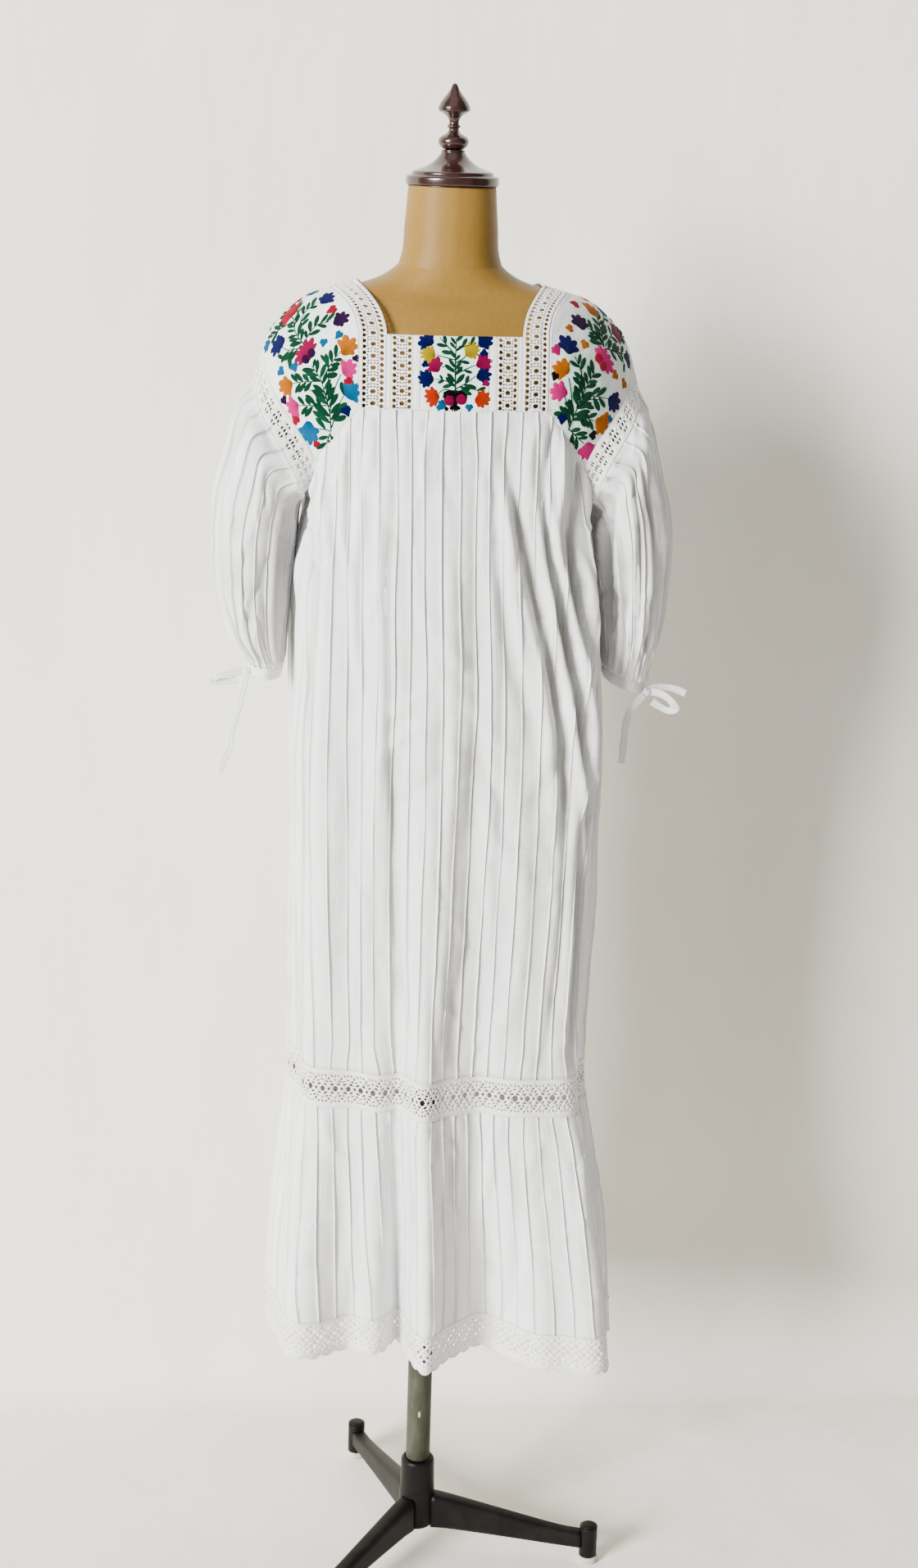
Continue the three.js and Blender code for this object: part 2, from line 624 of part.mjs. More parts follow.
const frontSteps = [0, 1, 2, 3];
const backSteps = [12, 11, 10, 9];
for (const [side, steps] of [['front', frontSteps], ['back', backSteps]]) {
  const middle = flatLane(LANE.middle, -1, LANE.middle, 1, steps, 3);
  addPiece(`yoke_middle_${side}`, clothWall(facingOut(middle)), 'cotton');
  for (const [hand, mirror] of [['left', -1], ['right', 1]]) {
    const lanes = [
      { name: 'yoke_strip', from: LANE.middle, to: LANE.strip, look: 'cotton', thick: CLOTH },
      { name: 'yoke_lace', from: LANE.strip, to: LANE.shortLace, look: 'lace', thick: LACE },
      { name: 'yoke_edge', from: LANE.shortLace, to: { low: 72.5, top: 72.5 }, look: 'cotton', thick: CLOTH },
    ];
    for (const { name, from, to, look, thick } of lanes) {
      const grid = flatLane(from, mirror, to, mirror, steps, 1);
      addPiece(`${name}_${side}_${hand}`, clothWall(facingOut(grid), { thick }), look);
    }
  }
}

const allSteps = Array.from({ length: YOKE_STEPS + 1 }, (_, step) => step);
for (const [hand, mirror] of [['left', -1], ['right', 1]]) {
  const strap = flatLane(LANE.strapInner, mirror, LANE.strapOuter, mirror, allSteps, 2);
  addPiece(`strap_lace_${hand}`, clothWall(facingOut(strap), { thick: LACE }), 'lace');
  const shoulder = allSteps.map((step) => [0, 1, 2, 3, 4].map((c) => shoulderCell(mirror, step, c / DIAGONAL)));
  addPiece(`shoulder_panel_${hand}`, clothWall(facingOut(shoulder)), 'cotton');
}

// ---- Armhole lace, sleeves and cuffs ------------------------------------------------------
function sleeveRowPoint(row, column) {
  const turn = (column / COUNT.sleeveTucks) * 2 * Math.PI;
  const up = -Math.cos(turn);
  const x = mix(row.inner, row.outer, 0.5 + 0.5 * up);
  const z = mix(row.innerZ, row.outerZ, 0.5 + 0.5 * up);
  return vec(x, -row.deep * Math.sin(turn), z);
}

// The direction out of a ring of points at one column, given the rows above and below it.
function ringNormal(rowAbove, rowBelow, rowHere, column) {
  const count = rowHere.length;
  const across = rowHere[(column + 1) % count].clone().sub(rowHere[(column + count - 1) % count]);
  const down = rowBelow[column].clone().sub(rowAbove[column]);
  return down.cross(across).normalize();
}

function sleeveSide(hand, mirror) {
  const columns = Array.from({ length: COUNT.sleeveTucks }, (_, c) => c);
  const table = SLEEVES[hand];
  const bodyEdge = columns.map((c) => armholeCurve(ARMHOLE_BODY_EDGE, c));
  const sleeveEdge = columns.map((c) => armholeCurve(ARMHOLE_SLEEVE_EDGE, c));
  const middle = columns.map((c) => {
    const point = bodyEdge[c].clone().lerp(sleeveEdge[c], 0.5);
    const under = Math.max(Math.cos((c / COUNT.sleeveTucks) * 2 * Math.PI), 0) ** 2;
    point.z += UNDERARM_RISE * under;
    return point;
  });
  const rows = table.map((row) => columns.map((c) => sleeveRowPoint(row, c)));
  const lastRow = table[table.length - 1];
  const cuffBottom = {
    outer: lastRow.outer - CUFF.pinch,
    outerZ: lastRow.outerZ - CUFF.height,
    inner: lastRow.inner + CUFF.pinch,
    innerZ: lastRow.innerZ - CUFF.height,
    deep: lastRow.deep - CUFF.pinch,
  };
  const cuffEdge = columns.map((c) => sleeveRowPoint(cuffBottom, c));
  const all = [bodyEdge, middle, sleeveEdge, ...rows, cuffEdge];
  const cells = all.map((row, r) => row.map((point, c) => {
    const above = all[Math.max(r - 1, 0)];
    const below = all[Math.min(r + 1, all.length - 1)];
    const normal = r === 0 ? outward(point) : ringNormal(above, below, row, c);
    return { point: mirrorPoint(point, mirror), normal: mirrorPoint(normal, mirror) };
  }));
  const grid = cells.map((row) => (mirror < 0 ? [row[0], ...row.slice(1).reverse()] : row));
  const cuffRow = all.length - 2;
  addPiece(`armhole_lace_${hand}`, clothWall(grid.slice(0, 3), { ring: true, thick: LACE }), 'lace');
  addPiece(`sleeve_${hand}`, clothWall(grid.slice(2, cuffRow + 1), { ring: true, tucks: true }), 'cotton');
  addPiece(`cuff_${hand}`, clothWall(grid.slice(cuffRow), { ring: true }), 'cotton');
}

sleeveSide('left', -1);
sleeveSide('right', 1);

// ---- Drawstring ties ----------------------------------------------------------------------
// A flat tape along a route: its width stands upright, its thickness lies across the route.
function tape(route, width) {
  const curve = new THREE.CatmullRomCurve3(route.map(([x, y, z]) => vec(x, y, z)));
  const steps = (route.length - 1) * 2;
  const rows = curve.getSpacedPoints(steps).map((point, i) => {
    const along = curve.getTangentAt(i / steps);
    const flat = vec(0, -1, 0).addScaledVector(along, along.y).normalize();
    const edge = along.clone().cross(flat).normalize();
    const corner = (a, b) => point.clone().addScaledVector(edge, a * width / 2).addScaledVector(flat, b * TIE.thick / 2);
    return [corner(-1, -1), corner(1, -1), corner(1, 1), corner(-1, 1)];
  });
  return loft(rows);
}

// A closed solid through sections of equal count, capped at both ends.
function loft(rows) {
  const count = rows[0].length;
  const points = rows.flat();
  const faces = [];
  for (let r = 0; r < rows.length - 1; r += 1) {
    for (let c = 0; c < count; c += 1) {
      const a = r * count + c;
      const b = r * count + ((c + 1) % count);
      faces.push([a, b, b + count], [a, b + count, a + count]);
    }
  }
  const last = (rows.length - 1) * count;
  for (let c = 1; c < count - 1; c += 1) {
    faces.push([0, c + 1, c]);
    faces.push([last, last + c, last + c + 1]);
  }
  const geometry = solid(points, faces);
  return signedVolume(geometry) > 0 ? geometry : solid(points, faces.map((face) => [...face].reverse()));
}

function signedVolume(geometry) {
  const place = geometry.getAttribute('position');
  const index = geometry.getIndex();
  const corner = (i) => new THREE.Vector3().fromBufferAttribute(place, index.getX(i));
  let volume = 0;
  for (let i = 0; i < index.count; i += 3) volume += corner(i).dot(corner(i + 1).cross(corner(i + 2))) / 6;
  return volume;
}

function plain(geometry) {
  geometry.deleteAttribute('normal');
  geometry.deleteAttribute('uv');
  const merged = mergeVertices(geometry, 1e-4);
  merged.computeVertexNormals();
  return merged;
}

for (const [hand, { knot, tapes }] of Object.entries(TIES)) {
  const knotBody = addPiece(`tie_knot_${hand}`, plain(new THREE.SphereGeometry(TIE.knot / 2, 8, 6)), 'cotton');
  knotBody.position.set(knot.x, knot.y, knot.z);
  for (const { name, width, route } of tapes) addPiece(name, tape(route, width), 'cotton');
}

// ---- Form, cap and finial -----------------------------------------------------------------
function formBody() {
  const rows = FORM.map((row) => {
    const section = [];
    for (let c = 0; c < FORM_SIDES; c += 1) {
      const turn = (c / FORM_SIDES) * 2 * Math.PI;
      const round = (value) => Math.sign(value) * Math.abs(value) ** (2 / FORM_SQUARE);
      const deep = Math.sin(turn) < 0 ? row.front : row.back;
      section.push(vec(row.side * round(Math.cos(turn)), deep * round(Math.sin(turn)), row.at));
    }
    return section;
  });
  return loft(rows);
}

function turned(profile, foot, sides) {
  const outline = profile.map(([radius, height]) => new THREE.Vector2(radius, height));
  if (outline[0].x > 0) outline.unshift(new THREE.Vector2(0, outline[0].y));
  const end = outline[outline.length - 1];
  if (end.x > 0) outline.push(new THREE.Vector2(0, end.y));
  const geometry = plain(new THREE.LatheGeometry(outline, sides));
  geometry.rotateX(Math.PI / 2);
  geometry.translate(0, 0, foot);
  return geometry;
}

addPiece('form_torso', formBody(), 'form');
addPiece('neck_cap', turned(CAP_PROFILE, CAP_FOOT, TURNED_SIDES), 'turnedWood');
addPiece('finial', turned(FINIAL_PROFILE, CAP_FOOT, TURNED_SIDES - 4), 'turnedWood');

// ---- Stand --------------------------------------------------------------------------------
const hubProfile = [[HUB.radius - 2, 0], [HUB.radius, 2], [HUB.neck, 60], [HUB.neck, 88], [HUB.neck - 3, 92.3]];
addPiece('stand_hub', turned(hubProfile, HUB.bottom, TURNED_SIDES), 'castIron');
const poleBottom = HUB.top + SEAM;
addPiece('pole', turned([[POLE_RADIUS, 0], [POLE_RADIUS, POLE_TOP - poleBottom]], poleBottom, 20), 'pole');

// A leg's section is a bar with its edges rounded off to eight sides.
function legSection(distance, part) {
  const { z, high, wide } = part;
  const soft = 0.3;
  const outline = [[1 - soft, 1], [1, 1 - soft], [1, soft - 1], [1 - soft, -1],
    [soft - 1, -1], [-1, soft - 1], [-1, 1 - soft], [soft - 1, 1]];
  return outline.map(([across, up]) => vec(distance, (across * wide) / 2, z + (up * high) / 2));
}

LEG_TURNS.forEach((turn, i) => {
  const reach = LEG.reach - FOOT.radius - SEAM;
  const middle = { z: mix(LEG.root.z, LEG.tip.z, 0.55), high: 31, wide: 20 };
  const leg = loft([
    legSection(HUB.radius + SEAM, LEG.root),
    legSection(mix(HUB.radius, reach, 0.5), middle),
    legSection(reach, LEG.tip),
  ]);
  const foot = turned([[FOOT.radius, 0], [FOOT.radius, FOOT.top - FOOT.bottom - 3],
    [FOOT.radius - 3, FOOT.top - FOOT.bottom]], FOOT.bottom, 14);
  foot.translate(LEG.reach, 0, 0);
  const pad = turned([[FOOT.padRadius, 0], [FOOT.padRadius, FOOT.padTop]], 0, 14);
  pad.translate(LEG.reach, 0, 0);
  const angle = THREE.MathUtils.degToRad(turn);
  for (const [name, geometry, look] of [['leg', leg, 'castIron'], ['foot', foot, 'castIron'], ['foot_pad', pad, 'pad']]) {
    addPiece(`${name}_${i + 1}`, geometry, look).rotation.z = angle;
  }
});

export default group;
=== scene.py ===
"""A pin-tucked white cotton dress with crocheted lace and embroidered shoulders, hanging on a
limbless dress form that stands on a three-legged cast base."""
import math

import bpy
import numpy as np
from mathutils import Matrix, Vector
from mathutils.geometry import delaunay_2d_cdt


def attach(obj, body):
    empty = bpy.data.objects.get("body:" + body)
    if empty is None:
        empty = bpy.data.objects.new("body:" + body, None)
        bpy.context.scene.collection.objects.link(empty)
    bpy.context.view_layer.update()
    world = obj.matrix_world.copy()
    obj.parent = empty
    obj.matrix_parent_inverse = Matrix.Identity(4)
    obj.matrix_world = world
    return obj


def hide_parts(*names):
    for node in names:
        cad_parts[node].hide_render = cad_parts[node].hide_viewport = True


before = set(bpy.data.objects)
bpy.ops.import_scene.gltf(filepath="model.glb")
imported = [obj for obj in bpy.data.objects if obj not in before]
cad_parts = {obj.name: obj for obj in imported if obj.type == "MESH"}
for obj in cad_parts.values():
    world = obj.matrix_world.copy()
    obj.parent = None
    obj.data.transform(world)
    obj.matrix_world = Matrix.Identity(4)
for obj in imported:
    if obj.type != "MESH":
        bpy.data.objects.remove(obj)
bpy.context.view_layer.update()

# ---- Camera -------------------------------------------------------------------------------
# A lens of a longish phone setting stands in front of the dress at head height, a little to
# its left, and looks down at the whole stand. The frame is a tall one, 1120 by 1913.
POLE = np.array([-12.3, -18.9, 0.0])
CAMERA = {"distance": 2.6646, "height": 1.7466, "side": 0.0265, "down": 0.27356, "roll": 0.02995}
FOCAL_PIXELS = 2922.7
FRAME_HIGH = 1913

swing = math.radians(5)
right = Vector((math.cos(swing), -math.sin(swing), 0))
ahead = Vector((math.sin(swing), math.cos(swing), 0))
eye = Vector(POLE / 1000) - ahead * CAMERA["distance"] + right * CAMERA["side"]
eye.z = CAMERA["height"]
look = ahead * math.cos(CAMERA["down"]) - Vector((0, 0, 1)) * math.sin(CAMERA["down"])
up = look.cross(right).normalized() * -1
turn = Matrix.Rotation(-CAMERA["roll"], 3, look)
axes = Matrix((turn @ right, turn @ up, turn @ -look)).transposed()
camera_data = bpy.data.cameras.new("front_camera")
camera_data.sensor_fit = "VERTICAL"
camera_data.sensor_height = 36.0
camera_data.lens = FOCAL_PIXELS / FRAME_HIGH * camera_data.sensor_height
camera = bpy.data.objects.new("front_camera", camera_data)
camera.matrix_world = Matrix.Translation(eye) @ axes.to_4x4()
bpy.context.scene.collection.objects.link(camera)
bpy.context.scene.camera = camera

# ---- Room ---------------------------------------------------------------------------------
# A plain pale cloth floor that turns up into a plain pale wall, with one wide soft window on
# the left and two weak fills, from the front and from above.
WALL_BEHIND = 0.36
WALL_BEND = 0.06


def shader(name, colour, roughness, **sockets):
    """A material with one shader, and its node tree for what is added to it."""
    material = bpy.data.materials.new(name)
    material.use_nodes = True
    principled = material.node_tree.nodes["Principled BSDF"]
    principled.inputs["Base Color"].default_value = (*colour, 1)
    principled.inputs["Roughness"].default_value = roughness
    for socket, value in sockets.items():
        principled.inputs[socket.replace("_", " ")].default_value = value
    return material


def node(material, kind, links=(), **values):
    """A new node in a material: values go to its sockets or settings, links to other nodes."""
    made = material.node_tree.nodes.new(kind)
    for key, value in values.items():
        if hasattr(made, key) and key not in made.inputs:
            setattr(made, key, value)
        else:
            made.inputs[key.replace("_", " ")].default_value = value
    for source, target in links:
        material.node_tree.links.new(source, made.inputs[target])
    return made


def ramp(material, source, stops):
    """A colour ramp over a source socket; stops are (place, (r, g, b))."""
    made = node(material, "ShaderNodeValToRGB", [(source, "Fac")])
    elements = made.color_ramp.elements
    while len(elements) < len(stops):
        elements.new(0.5)
    for element, (place, colour) in zip(elements, stops):
        element.position = place
        element.color = (*colour, 1)
    return made.outputs["Color"]


def bump(material, height, strength, distance, under=None):
    """A bump from a height socket, laid on another bump if one is given."""
    links = [(height, "Height")] + ([(under, "Normal")] if under else [])
    return node(material, "ShaderNodeBump", links, Strength=strength, Distance=distance).outputs[0]


def connect(material, socket, target):
    principled = material.node_tree.nodes["Principled BSDF"]
    material.node_tree.links.new(socket, principled.inputs[target])


def object_place(material, scale=(1, 1, 1)):
    """Object coordinates of a piece, scaled."""
    place = node(material, "ShaderNodeTexCoord").outputs["Object"]
    return node(material, "ShaderNodeMapping", [(place, "Vector")], Scale=scale).outputs[0]


def pattern(material, kind, place, **values):
    """A noise, wave or cell pattern over a piece."""
    made = node(material, f"ShaderNodeTex{kind}", [(place, "Vector")], **values)
    return made.outputs["Distance" if kind == "Voronoi" else "Fac"]


def new_object(name, mesh):
    made = bpy.data.objects.new(name, mesh)
    bpy.context.scene.collection.objects.link(made)
    return made


pale_cloth = shader("pale_backdrop_cloth", (0.80, 0.775, 0.71), 0.95)
backdrop_weave = pattern(pale_cloth, "Noise", object_place(pale_cloth, (1, 1, 0.4)), Scale=6.0, Detail=6.0)
backdrop_shade = ramp(pale_cloth, backdrop_weave, [(0.3, (0.84, 0.81, 0.735)), (0.7, (0.90, 0.87, 0.79))])
connect(pale_cloth, backdrop_shade, "Base Color")
connect(pale_cloth, bump(pale_cloth, backdrop_weave, 0.3, 0.02), "Normal")
profile = [(-4.0, 0.0)] + [(WALL_BEHIND - WALL_BEND + WALL_BEND * math.sin(a), WALL_BEND * (1 - math.cos(a)))
                           for a in np.linspace(0, math.pi / 2, 9)] + [(WALL_BEHIND, 3.4)]
stage_points = [(x, y, z - 0.0005) for y, z in profile for x in (-3.5, 3.5)]
stage_faces = [(2 * i, 2 * i + 1, 2 * i + 3, 2 * i + 2) for i in range(len(profile) - 1)]
stage_mesh = bpy.data.meshes.new("backdrop")
stage_mesh.from_pydata(stage_points, [], stage_faces)
stage_mesh.materials.append(pale_cloth)
stage_mesh.shade_smooth()
new_object("backdrop", stage_mesh)

LIGHTS = [
    ("window", (-9.2, -8.2, 4.7), (0, 0.1, 1.0), 4.4, 5600, (1.0, 0.99, 0.965)),
    ("front_fill", (1.6, -3.8, 1.5), (0, 0, 0.9), 2.6, 4, (0.98, 0.99, 1.0)),
    ("sky_fill", (-0.3, -0.9, 3.4), (0, 0, 1.0), 1.8, 8, (0.97, 0.98, 1.0)),
]
for name, place, target, size, power, colour in LIGHTS:
    lamp = bpy.data.lights.new(name, "AREA")
    lamp.size = size
    lamp.energy = power
    lamp.color = colour
    holder = bpy.data.objects.new(name, lamp)
    aim = (Vector(target) - Vector(place)).to_track_quat("-Z", "Y")
    holder.matrix_world = Matrix.Translation(place) @ aim.to_matrix().to_4x4()
    bpy.context.scene.collection.objects.link(holder)
world = bpy.data.worlds.new("soft_room")
world.use_nodes = True
world.node_tree.nodes["Background"].inputs["Color"].default_value = (0.97, 0.975, 1.0, 1)
world.node_tree.nodes["Background"].inputs["Strength"].default_value = 0.16
bpy.context.scene.world = world

# ---- Body of the dress --------------------------------------------------------------------
# Two wide panels of fine cotton voile, front and back, gathered under the yoke by pin tucks
# that run the whole way down. They hang from the yoke and shoulders to the lace insertion.
VOILE = 0.9
LEVEL = {"yoke": 1441.0, "lace_top": 679.0, "lace_bottom": 633.0, "hem_lace": 362.0, "hem": 316.0}
TILT = 0.045
TUCKS = {"body": 28, "flounce": 32, "sleeve": 20}
TUCK_PLACE = 0.3
# Where the columns of one tuck's cell lie, the tuck's own among them.
CELL = [0.0, 0.12, 0.21, 0.256, 0.282, 0.3, 0.316, 0.336, 0.38, 0.5, 0.75]
INNER_CELL = [0, 5, 9]

# Plan of the hanging cloth: height, half width, depth in front and behind, lean, squareness.
BODY = [
    (300, 203, 100, 118, 19, 2.6), (430, 198, 104, 116, 16, 2.6), (560, 184, 108, 112, 11, 2.6),
    (660, 174, 112, 110, 7, 2.6), (850, 177, 116, 111, 6, 2.6), (1050, 180, 119, 114, 6, 2.5),
    (1150, 175, 121, 114, 5, 2.5), (1250, 167, 122, 111, 1, 2.5), (1330, 156, 121, 107, 0, 2.6),
    (1445, 154, 118, 108, 0, 2.6),
]
# Large folds: place round the plan in hundredths, width, reach at hem, lace, waist, chest, top.
FOLD_HEIGHTS = [318, 660, 1050, 1330, 1440]
FOLDS = [
    (-46, 3, 22, 10, 6, 2, 0), (-40.5, 2.4, -22, -10, -6, -2, 0), (-34, 3.4, 24, 13, 9, 5, 0),
    (-28.5, 1.8, -14, -8, -5, -2, 0), (-24.5, 2.4, 8, 2, -9, -4, 0), (-20, 1.8, 4, -5, -6, -3, 0),
    (-15.4, 2.9, 42, 14, 11, 6, 0), (-11, 1.8, -10, -3, -3, -2, 0), (-7.8, 2, 4, 2, 2, 1, 0),
    (-5.2, 1.5, -46, -14, -2, 0, 0), (-2.3, 2.1, 42, 21, 4, 0, 0), (4.6, 2.5, -32, -12, -3, -1, 0),
    (10.6, 2.4, 30, 5, 4, 2, 0), (15.4, 3, 62, 18, 12, 6, 0), (19.6, 1.5, -14, -6, -8, -5, 0),
    (22.6, 1.4, 12, 5, 4, 3, 0), (26, 2.2, -12, -6, -7, -4, 0), (32, 3.2, 26, 12, 9, 5, 0),
    (38, 2.4, -20, -9, -6, -2, 0), (43, 2.4, 18, 9, 6, 2, 0),
]
# The yoke's fall over the shoulder: step, y, z; step 0 is its lower front edge, 6 the ridge.
YOKE_FALL = [
    (0, -118, 1441), (1, -115, 1467), (2, -110, 1493), (3, -102, 1518), (4, -72, 1547), (5, -34, 1563.6),
    (6, 4, 1566.5), (7, 40, 1563.6), (8, 74, 1547), (9, 97, 1520), (10, 104, 1494), (11, 107, 1467),
    (12, 108, 1441),
]
# Half widths in the yoke, at its lower edge and on top of the shoulder.
LANE = {"middle": (36.5, 36.5), "strip": (45, 45), "short_lace": (67.5, 67.5),
        "edge": (72.5, 72.5), "strap_inner": (72.5, 101), "strap_outer": (101, 127.5)}
SHOULDER_SLOPE = 0.3
SHOULDER_CROWN = [(0, 4), (3, 9), (6, 15), (9, 9), (12, 4)]
# Half of the armhole's two edges, from the underarm round the front to the shoulder.
ARMHOLE_BODY_EDGE = [
    (0, 151.5, 0, 1326), (1, 142.5, -66, 1360), (2, 153.5, -80, 1397), (3, 190, -52, 1449),
    (4, 204.5, 0, 1487),
]
ARMHOLE_SLEEVE_EDGE = [
    (0, 162, 0, 1326), (1, 160, -70, 1344), (2, 173.5, -86, 1380), (3, 203, -58, 1428), (4, 212, 0, 1461),
]
TIP = 4
DIAGONAL = 4


def paired(one, other):
    """Two arrays of numbers, spread to one shape."""
    return np.broadcast_arrays(np.asarray(one, float), np.asarray(other, float))


def smooth_run(t, low, high, rise, fall):
    """The smooth run from low to high, with the slopes that it leaves and meets them with."""
    return ((2 * t ** 3 - 3 * t ** 2 + 1) * low + (t ** 3 - 2 * t ** 2 + t) * rise
            + (3 * t ** 2 - 2 * t ** 3) * high + (t ** 3 - t ** 2) * fall)


def read_table(table, at):
    """A smooth reading of a table whose first column rises from row to row."""
    table = np.asarray(table, float)
    at = np.asarray(at, float)
    places, last = table[:, 0], len(table) - 1
    low = np.clip(np.searchsorted(places, at, side="left") - 1, 0, last - 1)
    before, after = np.maximum(low - 1, 0), np.minimum(low + 2, last)
    span = places[low + 1] - places[low]
    t = np.clip((at - places[low]) / span, 0, 1)[..., None]
    rise = (table[low + 1] - table[before]) * (span / (places[low + 1] - places[before]))[..., None]
    fall = (table[after] - table[low]) * (span / (places[after] - places[low]))[..., None]
    return smooth_run(t, table[low], table[low + 1], rise, fall)[..., 1:]


def smoothstep(value, low, high):
    t = np.clip((np.asarray(value, float) - low) / (high - low), 0, 1)
    return t * t * (3 - 2 * t)


def walk(line):
    """How far along a line of points each point lies."""
    return np.concatenate([[0], np.cumsum(np.linalg.norm(np.diff(line, axis=0), axis=1))])


def even_line(line, count):
    """Points at even distances along a line of points."""
    along = walk(line)
    want = np.linspace(0, along[-1], count)
    return np.stack([np.interp(want, along, line[:, k]) for k in range(line.shape[1])], axis=1)


RING = 960
SHARES = 721
RING_HEIGHTS = np.arange(296.0, 1500.0, 6.0)


def squared(value, power):
    """Sines and cosines drawn out towards the corners of a square."""
    return np.sign(value) * np.abs(value) ** power


def plan_halves(height):
    """The closed plan at one height, as its front and back line of points in x and y."""
    side, front, back, lean, square = read_table(BODY, np.clip(height, 300, 1445))
    turns = np.arange(RING) / RING * 2 * np.pi - np.pi
    deep = np.where(np.cos(turns) > 0, front, back)
    power = 2 / square
    base = np.stack([lean + side * squared(np.sin(turns), power), -deep * squared(np.cos(turns), power)], 1)
    even = even_line(np.vstack([base, base[:1]]), RING + 1)[:-1]
    tangent = np.roll(even, -4, 0) - np.roll(even, 4, 0)
    normal = np.stack([tangent[:, 1], -tangent[:, 0]], 1)
    normal /= np.linalg.norm(normal, axis=1, keepdims=True)
    share = np.arange(RING) / RING * 100 - 50
    reach = np.zeros(RING)
    for place, width, *reaches in FOLDS:
        table = list(zip(FOLD_HEIGHTS, reaches))
        size = read_table(table, np.clip(height, 300, 1440))[0]
        reach += size * np.exp(-((((share - place + 150) % 100) - 50) / width) ** 2)
    folded = even + normal * reach[:, None]
    closed = np.vstack([folded, folded[:1]])
    quarter = RING // 4
    loop = np.vstack([closed[quarter:-1], closed[:quarter + 1]])
    half = RING // 2
    return even_line(loop[:half + 1], SHARES), even_line(loop[half:], SHARES)


plans = [plan_halves(height) for height in RING_HEIGHTS]
HANG = {"front": np.array([p[0] for p in plans]), "back": np.array([p[1] for p in plans])}


def hanging(side, share, height):
    """Points of the hanging cloth: share runs from 0 to 1 across the front or the back."""
    share, height = paired(share, height)
    table = HANG[side]
    across = np.clip(share, 0, 1) * (SHARES - 1)
    level = np.clip((height - RING_HEIGHTS[0]) / 6.0, 0, len(RING_HEIGHTS) - 1.001)
    a0 = np.minimum(across.astype(int), SHARES - 2)
    l0 = level.astype(int)
    fa, fl = (across - a0)[..., None], (level - l0)[..., None]
    flat = ((table[l0, a0] * (1 - fa) + table[l0, a0 + 1] * fa) * (1 - fl)
            + (table[l0 + 1, a0] * (1 - fa) + table[l0 + 1, a0 + 1] * fa) * fl)
    z = height - TILT * flat[..., 0] * (1 - smoothstep(height, 700, 1250))
    return np.concatenate([flat, z[..., None]], -1)


def unit(vectors):
    return vectors / np.maximum(np.linalg.norm(vectors, axis=-1, keepdims=True), 1e-9)


def outward(points):
    """Outward direction anywhere on the yoke and the shoulders."""
    core = np.stack([np.clip(points[..., 0], -100, 100) * 0.85, 0 * points[..., 0],
                     np.minimum(points[..., 2], 1440)], -1)
    return unit(points - core)


def yoke_point(x, step):
    x, step = paired(x, step)
    fall = read_table(YOKE_FALL, step)
    on_top = np.sin(np.pi * step / 12) ** 2
    z = fall[..., 1] - np.maximum(np.abs(x) - 101, 0) * SHOULDER_SLOPE * on_top
    return np.stack([x, fall[..., 0] * (1 - 0.1 * (x / 100) ** 2), z], -1)


def lane_x(lane, step):
    low, top = LANE[lane]
    climb = smoothstep(step, 3, 5.6) * (1 - smoothstep(step, 6.4, 9))
    return low + (top - low) * climb


def armhole_point(table, column, mirror=1):
    """The armhole's columns: 0 and 20 at the underarm, 10 on the shoulder, 1 to 9 in front."""
    column = np.asarray(column, float)
    front = np.where(column <= 10, column, 20 - column)
    edge = read_table(table, front / 10 * (len(table) - 1))
    behind = np.where(column <= 10, 1, -1)
    return np.stack([edge[..., 0] * mirror, edge[..., 1] * behind, edge[..., 2]], -1)


def shoulder_point(mirror, step, across):
    """A shoulder panel's point: across runs from the strap (0) to the armhole (1)."""
    step, across = paired(step, across)
    inner = yoke_point(mirror * lane_x("strap_outer", step), step)
    outer = armhole_point(ARMHOLE_BODY_EDGE, TIP + step, mirror)
    point = inner + (outer - inner) * across[..., None]
    crown = read_table(SHOULDER_CROWN, step)[..., 0] * 4 * across * (1 - across)
    return point + outward(point) * crown[..., None]


def panel_top(side, columns):
    """The panel's upper edge: armhole, shoulder panel, yoke, shoulder panel, armhole."""
    points = []
    for column in columns:
        mirror = -1 if (side == "front") == (column < 14) else 1
        k = min(column, 28 - column)
        if k <= TIP:
            points.append(armhole_point(ARMHOLE_BODY_EDGE, k if side == "front" else 20 - k, mirror))
        elif k < TIP + DIAGONAL:
            step = 0 if side == "front" else 12
            points.append(shoulder_point(mirror, step, 1 - (k - TIP) / DIAGONAL))
        else:
            x = 101 * (1 - (k - TIP - DIAGONAL) / (14 - TIP - DIAGONAL))
            points.append(yoke_point(mirror * x, 0 if side == "front" else 12))
    return np.array(points)


def grid_normals(points, ring=False):
    """Outward normals of a grid whose rows run down and columns to the right from outside."""
    down = np.gradient(points, axis=0)
    if ring:
        across = np.roll(points, -1, 1) - np.roll(points, 1, 1)
    else:
        across = np.gradient(points, axis=1)
    return unit(np.cross(down, across))


def tuck_columns(cells, ring=False):
    columns = [c + f for c in range(cells) for f in CELL]
    return np.array(columns if ring else columns + [float(cells)])


def tuck_rise(columns, high):
    """A pin tuck's height over each column: a thin roll that leans to one side."""
    off = (columns - np.floor(columns)) - TUCK_PLACE
    roll = np.exp(-(np.where(off > 0, off / 0.02, off / 0.042)) ** 2)
    return high * roll - 0.2 * np.exp(-((off - 0.075) / 0.035) ** 2)


def tuck_strength(columns, heights, seed):
    """How full each tuck stands along its length: some are pressed flat, some roll open."""
    draw = np.random.default_rng(seed)
    cell = np.floor(columns).astype(int)
    full = draw.uniform(0.62, 1.1, cell.max() + 2)
    start = draw.uniform(0, 6.3, cell.max() + 2)
    wave = np.sin(heights / 58 + start[cell]) * 0.22 + np.sin(heights / 23 + 2 * start[cell]) * 0.10
    return np.clip(full[cell] + wave, 0.2, 1.3)


